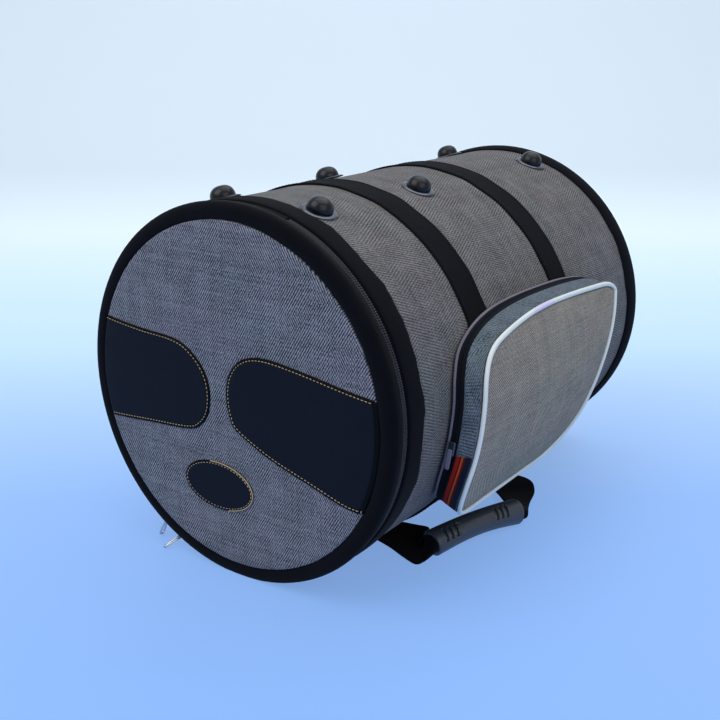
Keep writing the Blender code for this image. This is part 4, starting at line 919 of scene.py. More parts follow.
def lid_dome(radius):
    """Station of the lid's face: crown + 0.3 mm x share^2 + 1.4 mm x share^14, share = radius / 147.2 mm."""
    share = np.clip(radius / 0.1472, 0, 1)
    return FACE_CROWN_Y + 0.0003 * share ** 2 + 0.0014 * share ** 14


def make_lid_cloth():
    """Front of the lid: a crowned disc whose edge is tucked under the roll. The back is a plain disc."""
    front = [(r, lid_dome(r)) for r in np.linspace(0.0, 0.1465, 60)]
    outline = front + [(0.1470, -0.2352), (0.1471, -0.2330), (0.1500, -0.2328), (0.1500, -0.2316),
                       (0.1465, -0.2316)] + [(r, -0.2357) for r in np.linspace(0.136, 0.0, 12)]
    mesh = disc_mesh("lid_cloth", outline, 180)
    piece = make_piece("lid_cloth", mesh, "lid", lid_cloth_finish, ("lid_panel",))
    places = np.empty(len(mesh.vertices) * 3)
    mesh.vertices.foreach_get("co", places)
    places = places.reshape(-1, 3)
    flat = np.stack([places[:, 0], places[:, 2] - AXIS_HEIGHT], -1)
    radius = np.hypot(flat[:, 0], flat[:, 1])
    held = (radius > 0.1450) | (places[:, 1] > -0.2362) | under_patch(flat)
    blown_up(piece, held, pressure=0.4, cap=0.0010)
    return piece


lid_cloth = make_lid_cloth()
print("lid cloth:", len(lid_cloth.data.polygons), "faces")


# %% [markdown]
# ## The lid's padding
#
# Behind the cloth is a foam disc faced with thin lining. It shows when the lid is open, so it is a low
# cushion with a stitched ring near its edge.

# %% Lid padding
def make_lid_padding():
    """A disc of foam: r from the axis to 0.150, its back face with a quilting groove round it."""
    back = [(r, -0.2220 + 0.0003 * math.cos(r * 60) - 0.0018 * math.exp(-((r - 0.120) / 0.004) ** 2)
             - 0.0020 * (r / 0.148) ** 24) for r in np.linspace(0.0, 0.148, 40)]
    outline = back + [(0.1497, -0.2262), (0.1497, -0.2310), (0.146, -0.2312), (0.1367, -0.2354)]
    outline += [(r, -0.2354) for r in np.linspace(0.12, 0.0, 8)]
    mesh = disc_mesh("lid_padding", outline, 144)
    piece = make_piece("lid_padding", mesh, "lid", lining_cloth, ("lid_foam", "lid_lining"))


make_lid_padding()
print("lid padding made")

# %% [markdown]
# ## Leather patches
#
# Three patches of black leather are sewn on the lid. A patch is a thin plate with a soft edge: its outline
# is a closed curve, and rings of it shrink towards the middle, so one grid covers front, edge and back.
# The stitches lie in a shallow groove near the edge. From just inside the stitches out over the edge and
# the back, the leather is painted darker: painted shade for the groove and for the shadow along the raised
# edge. The attribute `rim` tells the finish where.

# %% Moving an outline inwards
def curve_normals(outline):
    """Unit vectors square to a closed curve of flat points: the direction between neighbours, turned by 90."""
    tangent = unit(np.roll(outline, -1, axis=0) - np.roll(outline, 1, axis=0))
    return np.stack([-tangent[:, 1], tangent[:, 0]], -1)


def inward_offset(outline, distance):
    """Each point moved inwards by distance along the curve's normal. The sign of the area tells inwards."""
    area = 0.5 * np.sum(outline[:, 0] * np.roll(outline[:, 1], -1) - np.roll(outline[:, 0], -1) * outline[:, 1])
    return outline + curve_normals(outline) * distance * (1 if area > 0 else -1)


# %% Patch plates
def on_lid(flat, lift):
    """Places on the lid for flat (x, height from the axis) points, lifted off the dome, sinking at the rim."""
    radius = np.hypot(flat[..., 0], flat[..., 1])
    y = lid_dome(radius) - lift + 0.0022 * np.clip((radius - 0.1448) / 0.0029, 0, 1) ** 2
    return np.stack([flat[..., 0], y, flat[..., 1] + AXIS_HEIGHT], -1)


def make_patch(name, outline, node, seed):
    """Front rings, rounded edge and back rings of a plate: each ring is the outline, inset or shrunk."""
    outline = even_steps(outline, 0.0016, closed=True)
    random = np.random.RandomState(seed)
    ragged = outline + random.uniform(-0.00018, 0.00018, outline.shape)
    centre = outline.mean(axis=0)
    rings = []
    for share in np.linspace(0.02, 0.92, 14):
        rings.append((centre + (outline - centre) * share, PATCH_THICKNESS - 0.00005 * (share > 0.9)))
    for inset, lift in ((0.0038, 1.0), (0.0032, 0.74), (0.0024, 0.62), (0.0016, 0.72), (0.0010, 0.96),
                        (0.0002, 0.72), (0.0, 0.35), (0.0, 0.12)):
        rings.append((inward_offset(ragged if inset < 0.0012 else outline, inset), PATCH_THICKNESS * lift))
    for share in (0.9, 0.5, 0.02):
        rings.append((centre + (outline - centre) * share, PATCH_THICKNESS * 0.1))
    points = np.stack([on_lid(flat, lift) for flat, lift in rings])
    uv = np.stack([points[..., 0], points[..., 2]], -1)
    uv = np.concatenate([uv, uv[:, :1]], 1)
    mesh = grid_mesh(name, points, uv=uv, closed_v=True, cap_ends=True)
    # Painted shade: the rings round the groove, the raised edge and the back get the leather's darker rim colour.
    dark = np.zeros(points.shape[:2])
    dark[FIRST_SHADED_RING:] = 1.0
    mesh.attributes.new("rim", "FLOAT", "POINT").data.foreach_set("value", dark.astype(np.float32).ravel())
    make_piece(name, mesh, "lid", leather, (node,), smooth_angle=50)


make_patch("leather_left", left_outline, "patch_left", 41)
make_patch("leather_right", right_outline, "patch_right", 42)
make_patch("leather_oval", oval_edge, "patch_oval", 43)
print("patches made")

# %% [markdown]
# ## Stitches
#
# A stitch is a short bead of thread that dives into the cloth at both ends. One bead is a stretched
# six-sided ball of a few dozen faces. Hundreds of copies are laid along a curve by array arithmetic, each
# with its own small error of turn and length, because hand-guided sewing is never quite regular.

# %% Stitch maker
def bead():
    """A small long ball: half width sin(t), along cos(t), six sides and five rings; size 1 each way."""
    t = np.linspace(0.12, math.pi - 0.12, 6)
    turn = np.linspace(0, math.tau, 6, endpoint=False)
    along, side = np.meshgrid(np.cos(t), turn, indexing="ij")
    width = np.sin(t)[:, None] ** 0.7
    points = np.stack([along, width * np.cos(side), width * np.sin(side)], -1)
    i, j = np.meshgrid(np.arange(5), np.arange(6), indexing="ij")
    faces = np.stack([i * 6 + j, (i + 1) * 6 + j, (i + 1) * 6 + (j + 1) % 6, i * 6 + (j + 1) % 6], -1)
    caps = [list(range(6))[::-1], [30 + k for k in range(6)]]
    return points.reshape(-1, 3), faces.reshape(-1, 4), caps


def make_stitches(name, places, along, up, body, material, length=0.0023, width=0.00042, seed=1):
    """Copies of the bead: place + length/2 * a * along + width * (b * side + c * up), all as one mesh."""
    shape, faces, caps = bead()
    random = np.random.RandomState(seed)
    places = np.asarray(places, float)
    along = unit(unit(along) + random.normal(0, 0.05, along.shape))
    side = unit(np.cross(up, along))
    up = np.cross(along, side)
    lengths = length * random.uniform(0.85, 1.1, len(places))
    points = (places[:, None] + shape[None, :, 0:1] * along[:, None] * lengths[:, None, None] / 2
              + shape[None, :, 1:2] * side[:, None] * width + shape[None, :, 2:3] * up[:, None] * width)
    shift = (np.arange(len(places)) * len(shape))[:, None, None]
    all_faces = (faces[None] + shift).reshape(-1, 4).tolist()
    all_faces += [[k + s for k in cap] for s in shift.ravel().tolist() for cap in caps]
    mesh = bpy.data.meshes.new(name)
    mesh.from_pydata(points.reshape(-1, 3).tolist(), [], all_faces)
    mesh.update()
    make_piece(name, mesh, body, material, smooth_angle=80)


def stitch_line(curve, pitch, closed=False):
    """Middles and directions of stitches at equal steps along a curve of 3-D points."""
    even = even_steps(curve, pitch / 2, closed)
    middles = even[1::2]
    after = np.roll(even, -1, axis=0)[1::2]
    before = even[0::2][:len(middles)]
    return middles[:len(before)], (after - before)[:len(before)]


def patch_stitches(name, flat, closed, seed):
    """Tan stitches 2.4 mm inside a patch's free edge, standing a little proud of the leather."""
    line = on_lid(flat, PATCH_THICKNESS * 0.62 + 0.0003)
    middles, along = stitch_line(line, 0.0034, closed)
    up = np.tile([0.0, -1.0, 0.0], (len(middles), 1))
    make_stitches(name, middles, along, up, "lid", thread_tan, seed=seed)
    return len(middles)


def inner_line(edge, outline, distance=0.0024):
    """The part of the inset outline that follows the free edge."""
    inset = inward_offset(even_steps(outline, 0.0008, closed=True), distance)
    count = int(round(np.linalg.norm(np.diff(edge, axis=0), axis=1).sum() / 0.0008))
    return inset[:count]


stitched = patch_stitches("stitches_left", inner_line(left_edge, left_outline), False, 51)
stitched += patch_stitches("stitches_right", inner_line(right_edge, right_outline), False, 52)
stitched += patch_stitches("stitches_oval", inward_offset(oval_edge, 0.0022), True, 53)
print("stitches on the patches:", stitched)


# %% The oval's second row
def thick_row(name, outline, first, last, seed):
    """Close, thick stitches over the edge between two angles about the outline's middle, ending in a knot."""
    fine = even_steps(outline, 0.0004, closed=True)
    away = fine - fine.mean(axis=0)
    angle = np.degrees(np.arctan2(away[:, 1], away[:, 0]))
    order = np.argsort(-angle)
    row = fine[order][(angle[order] < first) & (angle[order] > last)]
    middles, along = stitch_line(on_lid(row, PATCH_THICKNESS * 0.75), 0.0016)
    middles = np.vstack([middles, middles[-1:] + [[-0.0006, -0.0006, -0.0012]]])
    along = np.vstack([along, [[0.3, 0.0, 1.0]]])
    up = np.tile([0.0, -1.0, 0.0], (len(middles), 1))
    make_stitches(name, middles, along, up, "lid", thread_tan, length=0.0021, width=0.00062, seed=seed)
    return len(middles)


print("second row:", thick_row("stitches_oval_edge", inward_offset(oval_edge, 0.0005), 112.0, -62.0, 54))

# %% [markdown]
# ## Webbing bands
#
# Two black webbing bands go round the barrel. Webbing is stiff along its length and its edges are woven
# tight, so it is a flat strip with slightly thicker, rounded edges. Sewing pulls it a little to one side or
# the other, so both edges wander together by about a millimetre.

# %% Bands
BAND_SEAM = math.radians(11.25)


def make_band(name, middle, node, seed):
    """A strip carried round the barrel: half width 17 mm, thickness 1.5 mm with rounded edges."""
    half = BAND_WIDTH / 2
    top = BAND_OUTER
    across = np.linspace(-1, 1, 23)
    profile = [(top - 0.0003 + 0.00025 * abs(s) ** 6, middle + s * (half - 0.0008)) for s in across]
    profile += [(top - 0.0004, middle + half - 0.0002), (BAND_INNER + 0.0006, middle + half),
                (BAND_INNER, middle + half - 0.0004), (BAND_INNER, middle - half + 0.0004),
                (BAND_INNER + 0.0006, middle - half), (top - 0.0004, middle - half + 0.0002)]

    def push(radius, angle, y):
        """Both edges wander together, each a little by itself, and the middle stands proud here and there."""
        shared = edge_wander(angle, seed, 0.00045)
        own = edge_wander(angle, seed + 1, 0.00018) * (y - middle) / half
        own = own - 0.0002 * np.abs(np.sin(angle * 118)) * ((y - middle) / half) ** 9
        proud = 0.00025 * np.sin(angle * 7 + seed) * (radius > BAND_INNER + 0.0005)
        return radius + proud * np.clip(1 - ((y - middle) / half) ** 2, 0, 1), y + shared + own

    points, uv = turned(profile, 900, push, span=(BAND_SEAM - math.pi, math.pi - BAND_SEAM))
    mesh = grid_mesh(name, points, uv=uv, closed_v=True, cap_ends=True)
    make_piece(name, mesh, "bag", webbing, (node,), smooth_angle=45)


band_names = (("webbing_front", "band_front", 61), ("webbing_rear", "band_rear", 63))
for (name, node, seed), middle in zip(band_names, BAND_YS):
    make_band(name, middle, node, seed)
print("bands at y =", BAND_YS)


# %% Band stitches
def band_stitches(name, middle, seed):
    """Black lockstitch rows 2.5 mm inside both edges, every 4 mm round the barrel."""
    angles = np.arange(BAND_SEAM - math.pi + 0.03, math.pi - BAND_SEAM - 0.03, 0.004 / BAND_OUTER)
    places, along, up = [], [], []
    for side in (-1, 1):
        y = middle + side * (BAND_WIDTH / 2 - 0.0026) + edge_wander(angles, seed, 0.00045)
        lift = BAND_OUTER - 0.0001 + 0.00025 * np.sin(angles * 7 + seed) * 0.28
        places.append(around(lift, angles, y))
        along.append(np.stack([np.cos(angles), np.zeros_like(angles), -np.sin(angles)], -1))
        up.append(np.stack([np.sin(angles), np.zeros_like(angles), np.cos(angles)], -1))
    places, along, up = (np.concatenate(part) for part in (places, along, up))
    above = places[:, 2] > 0.0015
    make_stitches(name, places[above], along[above], up[above], "bag", thread_black, length=0.0031,
                  width=0.00036, seed=seed)


band_stitches("webbing_front_stitches", BAND_YS[0], 61)
band_stitches("webbing_rear_stitches", BAND_YS[1], 63)
print("band stitches made")

# %% [markdown]
# ## Feet
#
# The six feet are moulded studs: a black dome on a dark metal flange, held by a stem through the cloth and a
# washer inside. All are turned shapes, so each is a smooth profile carried round its own axis. Their
# places are given by an angle round the bag and a distance from the lid.

# %% Feet
FOOT_ANGLE = 18.4
FOOT_ROWS = (0.0550, 0.2000, 0.4210)
STUD_STEPS = 48


def stud_mesh(name, profile, from_lid, angle, is_ring):
    """A profile of (radius, height along the foot's axis) turned about that axis. A ring's profile is closed."""
    profile = np.asarray(profile, float)
    turns = np.linspace(0, math.tau, STUD_STEPS, endpoint=False)
    radius, turn = np.meshgrid(profile[:, 0], turns, indexing="ij")
    height = np.broadcast_to(profile[:, 1][:, None], radius.shape)
    across, along = radius * np.cos(turn), radius * np.sin(turn)
    tilt = math.radians(angle)
    x = across * math.cos(tilt) + height * math.sin(tilt)
    z = -across * math.sin(tilt) + height * math.cos(tilt)
    points = np.stack([x, LID_Y + from_lid + along, AXIS_HEIGHT + z], -1)
    return grid_mesh(name, points, closed_u=is_ring, closed_v=True, cap_ends=not is_ring)


rise = np.linspace(0.0, math.pi / 2, 22)
dome_profile = np.stack([0.0108 * np.cos(rise) ** 0.82 + 0.0003, 0.1610 + 0.01025 * np.sin(rise) ** 0.92], -1)
foot_profile = np.vstack([[(0.0003, 0.1480), (0.0022, 0.1480), (0.0025, 0.1483), (0.0025, 0.1608),
                           (0.0104, 0.16085)], dome_profile])
flange_profile = ((0.0029, 0.1593), (0.0150, 0.1593), (0.0153, 0.1595), (0.0152, 0.1598), (0.0146, 0.1602),
                  (0.0134, 0.1606), (0.0118, 0.1607), (0.0029, 0.1607))
washer_profile = ((0.0029, 0.1510), (0.0093, 0.1510), (0.0095, 0.1512), (0.0095, 0.1519), (0.0093, 0.1521),
                  (0.0029, 0.1521))
foot_places = [(from_lid, angle) for from_lid in FOOT_ROWS for angle in (-FOOT_ANGLE, FOOT_ANGLE)]
for number, (from_lid, angle) in enumerate(foot_places, 1):
    for part, node, profile, finish, is_ring in (("stud", "foot", foot_profile, gloss_black, False),
                                                 ("stud_flange", "foot_flange", flange_profile, dark_nickel, True),
                                                 ("stud_washer", "foot_washer", washer_profile, nickel, True)):
        mesh = stud_mesh(f"{part}_{number}", profile, from_lid, angle, is_ring)
        make_piece(f"{part}_{number}", mesh, "bag", finish, (f"{node}_{number}",), smooth_angle=35)
print("feet:", len(foot_places))

# %% [markdown]
# ## The pocket's outline
#
# The pocket is a rounded box of cloth that lies on the barrel's side. Its outline changes on the way out:
# `pocket_outline(share)` mixes the outline at the barrel (0) with the one at the front (1). The outline is
# flat, along the bag and down round it, and `on_side` lays it on a cylinder of any radius.

# %% Outline of the pocket
POCKET_START = -0.150
POCKET_WIDTH = 0.2720
POCKET_TOP = math.radians(70.0)
POCKET_TALL = math.radians(55.5) * BARREL_RADIUS
POCKET_FLOOR = 0.1611
POCKET_DEPTH = 0.0245
POCKET_BACK = ((0.143, -0.021), (0.260, -0.068), (0.400, -0.085), (0.580, -0.083), (0.780, -0.066),
               (0.920, -0.028), (0.985, 0.040), (0.990, 0.130), (0.960, 0.270), (0.880, 0.510),
               (0.800, 0.760), (0.730, 0.870), (0.620, 0.945), (0.460, 0.955), (0.250, 0.955),
               (0.105, 0.955), (0.040, 0.925), (0.005, 0.840), (-0.018, 0.740), (-0.027, 0.590),
               (-0.024, 0.450), (-0.014, 0.330), (0.000, 0.190), (0.045, 0.065))
POCKET_FRONT = ((0.127, 0.054), (0.260, 0.018), (0.420, 0.000), (0.600, 0.003), (0.800, 0.022),
                (0.930, 0.040), (0.985, 0.085), (0.975, 0.150), (0.935, 0.280), (0.850, 0.510),
                (0.770, 0.740), (0.700, 0.850), (0.600, 0.922), (0.460, 0.930), (0.250, 0.928),
                (0.090, 0.928), (0.030, 0.895), (-0.012, 0.810), (-0.030, 0.690), (-0.023, 0.550),
                (-0.014, 0.420), (-0.004, 0.310), (0.015, 0.190), (0.055, 0.105))
OUTLINE_CUTS = 12


def pocket_outline(share, inset=0.0, cuts=OUTLINE_CUTS):
    """Flat outline at a share of the pocket's depth: lerp of the two tables, smoothed, moved in by inset."""
    share = min(max(share, 0.0), 1.0)
    size = np.array([POCKET_WIDTH, POCKET_TALL])
    corners = (np.array(POCKET_BACK) * (1 - share) + np.array(POCKET_FRONT) * share) * size
    return inward_offset(smooth_profile(corners, cuts), inset)


def on_side(flat, radius):
    """Flat (along, down) points laid round the bag: the angle is the top angle plus down / barrel radius."""
    return around(radius, POCKET_TOP + flat[..., 1] / BARREL_RADIUS, POCKET_START + flat[..., 0])


def outline_length(outline):
    """Distance along a closed outline at each of its points, with the whole length added at the end."""
    steps = np.linalg.norm(np.roll(outline, -1, axis=0) - outline, axis=1)
    return np.concatenate([[0.0], np.cumsum(steps)])


print("pocket outline:", round(float(outline_length(pocket_outline(0))[-1]), 3), "m round")


# %% Walls and cords of the pocket
def pocket_ring(name, section, body, material, node, push=None, cuts=OUTLINE_CUTS, smooth_angle=40):
    """A wall round the pocket. section lists (height, inset); each row is its own outline on the bag."""
    section = np.asarray(section, float)
    rows, uvs = [], []
    across = np.concatenate([[0], np.cumsum(np.linalg.norm(np.diff(section, axis=0), axis=1))])
    for (height, inset), v in zip(section, across):
        outline = pocket_outline(height / POCKET_DEPTH, inset, cuts)
        length = outline_length(outline)
        radius = np.full(len(outline), POCKET_FLOOR + height)
        if push:
            outline, radius = push(outline, radius, length[:-1], height, inset)
        rows.append(on_side(outline, radius))
        uvs.append(np.stack([length, np.full(len(length), v)], -1))
    points = np.stack(rows)
    uv = np.stack(uvs + [uvs[0]])
    mesh = grid_mesh(name, points, uv=uv, closed_u=True, closed_v=True)
    make_piece(name, mesh, body, material, (node,), smooth_angle=smooth_angle)


def round_section(height, inset, radius, sides=12):
    """A circle in the (height, inset) plane, for cords."""
    turn = np.linspace(0, math.tau, sides, endpoint=False)
    return np.stack([height + radius * np.cos(turn), inset + radius * np.sin(turn)], -1)


POCKET_COIL_PITCH = 0.0016


def coil_push(outline, radius, length, height, inset):
    """Sink the wall's outer side between coil turns: inwards by 0.5 mm x (1 - |sin(pi length / pitch)|)."""
    if inset > 0.0005 or not 0.0045 < height < 0.0076:
        return outline, radius
    drop = 0.0005 * (1 - np.abs(np.sin(math.pi * length / POCKET_COIL_PITCH)))
    return outline + curve_normals(outline) * drop[:, None], radius


pocket_ring("pocket_piped_seam", round_section(0.0013, 0.0010, 0.0012), "bag", cord_grey, "pocket_seam_cord")
pocket_ring("pocket_zip_lower", ((0.0027, 0.0004), (0.0036, 0.0004), (0.0044, 0.0004), (0.0047, 0.0000),
                                 (0.0052, -0.0002), (0.0057, 0.0000), (0.0057, 0.0019), (0.0042, 0.0019),
                                 (0.0027, 0.0019)), "bag", zip_nylon, "pocket_zip_barrel", coil_push, cuts=80)
pocket_ring("pocket_zip_upper", ((0.0063, 0.0000), (0.0068, -0.0002), (0.0073, 0.0000), (0.0077, 0.0004),
                                 (0.0085, 0.0004), (0.0093, 0.0004), (0.0093, 0.0019), (0.0078, 0.0019),
                                 (0.0063, 0.0019)), "pocket_flap", zip_nylon, "pocket_zip_flap", coil_push, cuts=80)
print("pocket seam and zip made")


# %% [markdown]
# ## The pocket's soft wall
#
# The wall between zip and piping is a strip of cloth with a little spare length. It buckles into shallow
# upright folds, deepest halfway up and at the rounded corners. The folds here are sums of sines along the
# wall, times a bell over its height.

# %% Soft wall
WALL_FOOT = 0.0096
PIPING_HEIGHT, PIPING_RADIUS = 0.0267, 0.0019


def fold_push(outline, radius, length, height, inset):
    """Move the wall in and out: depth x bell(height) x (slow sines + a narrow crease at each corner)."""
    share = (height - WALL_FOOT) / (POCKET_DEPTH - WALL_FOOT)
    bell = max(0.0, math.sin(math.pi * min(max(share, 0.0), 1.0)))
    slow = np.sin(length * 95 + 1.0) * 0.5 + np.sin(length * 41 + 2.2) * 0.6 + np.sin(length * 173) * 0.25
    crease = np.zeros_like(length)
    for place, width in ((0.010, 0.003), (0.322, 0.002), (0.336, 0.003), (0.585, 0.003), (0.612, 0.002),
                         (0.640, 0.003), (0.668, 0.002), (0.700, 0.003), (0.716, 0.002), (0.742, 0.003)):
        crease -= (2.2 if place > 0.69 else 1.3) * np.exp(-((length - place - 0.006 * share) / width) ** 2)
    place = np.arange(len(length)) / len(length) * len(POCKET_BACK)
    beside_tab = 1 - soft_box(place - 17.8, 1.35, 0.6)
    move = (0.00085 * bell * (slow + crease) + 0.0005 * bell) * beside_tab
    return outline - curve_normals(outline) * move[:, None], radius


wall_heights = np.linspace(0.0097, 0.0244, 14)
wall_section = [(h, 0.0002 if 0 < k < 13 else 0.0006) for k, h in enumerate(wall_heights)]
wall_section += [(h, 0.0018) for h in wall_heights[::-3]]
pocket_ring("pocket_soft_wall", wall_section, "pocket_flap", gusset_cloth, "pocket_gusset", fold_push, cuts=20)


def piping_push(outline, radius, length, height, inset):
    """Slow unevenness of a hand-guided piping, a quarter of a millimetre to either side."""
    return outline + 0.00012 * np.sin(length * 60)[:, None], radius + 0.00022 * np.sin(length * 37 + 1)


pocket_ring("pocket_piped_edge", round_section(PIPING_HEIGHT, PIPING_RADIUS, PIPING_RADIUS, 16), "pocket_flap",
            piping_white, "pocket_piping", piping_push, cuts=20, smooth_angle=80)


PIPING_JOINT, PIPING_JOINT_LENGTH = 0.064, 0.038


def make_piping_joint():
    """Where the piping's two ends overlap at the top: a slightly thicker sleeve along 38 mm of its run."""
    flat = pocket_outline(PIPING_HEIGHT / POCKET_DEPTH, PIPING_RADIUS, 24)
    length = outline_length(flat)[:-1]
    part = flat[(length > PIPING_JOINT) & (length < PIPING_JOINT + PIPING_JOINT_LENGTH)]
    path = on_side(part, POCKET_FLOOR + PIPING_HEIGHT)
    swell = 0.00215 + 0.00030 * np.sin(np.linspace(0, math.pi, len(path))) ** 0.3
    outward = unit((path - [0.0, 0.0, AXIS_HEIGHT]) * [1.0, 0.0, 1.0])
    mesh = grid_mesh("piping_joint", tube_along(path, swell, 12, False, outward), closed_v=True, cap_ends=True)
    make_piece("piping_joint", mesh, "pocket_flap", joint_white, smooth_angle=60)


make_piping_joint()
print("pocket wall and piping made")


# %% [markdown]
# ## The pocket's front
#
# The front is a flat padded panel, a little fuller in the middle, sewn into the piping all round. Rings of
# its outline shrink towards the centre on the outer face and come back on the inner face. Cloth simulation
# then swells it while its edge is held, and small puckers run in from the sewn edge.

# %% Padded front
FREE_RINGS = 33


def make_pocket_front():
    """Outer radius = base + crown (1 - share^2.4) + puckers near the edge; inner face stays plain."""
    edge = pocket_outline(1.0, 0.0041, 12)
    centre = np.array([0.46 * POCKET_WIDTH, 0.47 * POCKET_TALL])
    length = outline_length(edge)[:-1]
    base = 0.1859
    rows = []
    for share in np.concatenate([np.linspace(0.012, 0.86, 30), np.linspace(0.885, 0.985, 8)]):
        swell = base + 0.00215 + 0.0030 * (1 - share ** 2.4)
        pucker = 0.00022 * np.exp(-(1 - share) / 0.05) * np.sin(length * 420) * (1 + np.sin(length * 33))
        broad = 0.0005 * np.sin(share * 7 + length * 9) * share * (1 - share) * 4
        rows.append((centre + (edge - centre) * share, swell + pucker * (share < 0.97) + broad))
    rows.append((centre + (edge - centre) * 0.996, np.full(len(edge), base + 0.0016)))
    rows.append((edge, np.full(len(edge), base + 0.0010)))
    rows.append((edge, np.full(len(edge), base + 0.0002)))
    rows.append((centre + (edge - centre) * 0.995, np.full(len(edge), base)))
    for share in (0.9, 0.7, 0.5, 0.3, 0.012):
        rows.append((centre + (edge - centre) * share, np.full(len(edge), base + 0.0026 * (1 - share ** 2))))
    points = np.stack([on_side(flat, radius) for flat, radius in rows])
    uv = np.stack([np.vstack([flat, flat[:1]]) for flat, _ in rows])
    mesh = grid_mesh("pocket_padded_front", points, uv=uv, closed_v=True, cap_ends=True)
    piece = make_piece("pocket_padded_front", mesh, "pocket_flap", pocket_cloth, ("pocket_front",))
    held = np.zeros(len(mesh.vertices), bool)
    held[FREE_RINGS * len(edge):] = True
    blown_up(piece, held, pressure=0.5, cap=0.0016)


make_pocket_front()
print("pocket front made")

# %% [markdown]
# ## The striped tab
#
# A short piece of striped ribbon is sewn over the soft wall at the lower corner, between zip and piping.
# Its stripes run along the ribbon, so the pattern is read from the piece's own UV map.

# %% Striped ribbon
def striped_ribbon(name):
    """Bands of colour across the ribbon's width: v in metres from its edge picks the stripe."""
    n = Nodes(name, roughness=0.7, specular=0.15)
    split = n.add("SeparateXYZ", {0: n.place("UV")}).node
    share = n.math("MULTIPLY", split.outputs[1], 1 / 0.0145)
    stripes = n.ramp(share, ((0.0, (0.002, 0.002, 0.003)), (0.08, (0.002, 0.002, 0.003)),
                             (0.12, (0.330, 0.010, 0.006)), (0.30, (0.380, 0.012, 0.006)),
                             (0.34, (0.060, 0.004, 0.004)), (0.39, (0.060, 0.004, 0.004)),
                             (0.42, (0.520, 0.085, 0.018)), (0.50, (0.520, 0.085, 0.018)),
                             (0.54, (0.140, 0.006, 0.006)), (0.64, (0.060, 0.003, 0.008)),
                             (0.70, (0.003, 0.006, 0.022)), (1.0, (0.004, 0.010, 0.034))))
    rib = n.math("SINE", n.math("MULTIPLY", split.outputs[0], math.tau / 0.0008))
    fibres = n.noise(n.place("UV"), 2400.0, 2.0, 0.7)
    tone = n.mix(n.math("MULTIPLY", fibres, 0.25), stripes, (0.006, 0.004, 0.006, 1.0))
    return n.finish(tone, n.bump(n.math("ADD", rib, fibres), 0.0001, 0.8))


def make_tab():
    """The part of the wall's outline between two corners, moved out and given a thickness."""
    first, last = 17 * OUTLINE_CUTS - 6, 19 * OUTLINE_CUTS
    heights = np.linspace(0.0098, 0.0241, 12)
    rows = []
    for height, inset in [(h, -0.0012) for h in heights] + [(h, -0.0004) for h in heights[::-2]]:
        flat = pocket_outline(height / POCKET_DEPTH, inset)[first:last + 1]
        rows.append(on_side(flat, POCKET_FLOOR + height))
    points = np.stack(rows, axis=1)
    along = np.concatenate([[0], np.cumsum(np.linalg.norm(np.diff(points[:, 0], axis=0), axis=1))])
    across = np.concatenate([heights - heights[0], heights[::-2] - heights[0], [0.0]])
    u, v = np.meshgrid(along, across, indexing="ij")
    mesh = grid_mesh("striped_tab", points, uv=np.stack([u, v], -1), closed_v=True, cap_ends=True)
    make_piece("striped_tab", mesh, "pocket_flap", striped_ribbon("striped ribbon"), ("stripe_tab",))


make_tab()
print("tab made")

# %% [markdown]
# ## Zip pulls
#
# Two bright wire loops hang from the main zip's sliders and rest with their feet on the floor. A loop is
# bent wire, so it is a round tube along a closed outline. The pocket has a smaller flat pull.

# %% Wire loops
LUG_PIVOT = 0.1638
PULL_LENGTH = 0.0270
PULL_HALF_WIDE, PULL_HALF_NARROW = 0.0040, 0.0029
PULL_WIRE = 0.0018


def make_wire_loop(side, angle, twist, forward):
    """The loop's outline (across, down), hung from its slider; twist turns its foot, forward swings it to the lid."""
    half_wire = PULL_WIRE / 2
    narrow, wide, foot = PULL_HALF_NARROW - half_wire, PULL_HALF_WIDE - half_wire, -PULL_LENGTH + half_wire
    corners = np.array(((narrow * 0.3, 0.0), (narrow * 0.85, -0.0004), (narrow + 0.0003, -0.0035),
                        (wide * 0.86, -0.0140), (wide, foot + 0.0042), (wide * 0.82, foot + 0.0012),
                        (wide * 0.35, foot), (-wide * 0.35, foot), (-wide * 0.82, foot + 0.0012),
                        (-wide, foot + 0.0042), (-wide * 0.86, -0.0140), (-narrow - 0.0003, -0.0035),
                        (-narrow * 0.85, -0.0004), (-narrow * 0.3, 0.0)))
    flat = smooth_profile(corners, 8)
    turn = twist * flat[:, 1] / foot
    local = np.stack([flat[:, 0] * np.sin(turn), flat[:, 0] * np.cos(turn), flat[:, 1]], -1)
    pivot = around(LUG_PIVOT, math.radians(angle), ZIP_Y)
    lean = math.acos(min(1.0, (pivot[2] - half_wire) / PULL_LENGTH))
    x = local[:, 0] * math.cos(lean) + local[:, 2] * math.sin(lean)
    z = -local[:, 0] * math.sin(lean) + local[:, 2] * math.cos(lean)
    swing = forward * np.clip(flat[:, 1] / foot / 0.4, 0, 1)
    path = pivot + np.stack([x * np.cos(swing) - local[:, 1] * np.sin(swing),
                             x * np.sin(swing) + local[:, 1] * np.cos(swing), z], -1)
    path[:, 2] = np.maximum(path[:, 2], half_wire)
    up = np.array([math.cos(lean), 0.0, -math.sin(lean)])
    mesh = grid_mesh(f"wire_loop_{side}", tube_along(path, half_wire, 12, True, up), closed_u=True, closed_v=True)
    make_piece(f"wire_loop_{side}", mesh, f"pull_{side}", nickel, (f"pull_{side}",), smooth_angle=80)


make_wire_loop("left", 216.0, 0.35, math.radians(28))
make_wire_loop("right", 206.5, 0.5, math.radians(62))
print("wire loops made")

# %% [markdown]
# ## The handle
#
# The handle is one length of webbing sewn under the bands, folded to half its width inside a moulded
# sleeve. The piece inside the sleeve is an upright section carried along the grip. Both straps outside it
# are folded flat at a corner, so they are lofted between their two edges instead.

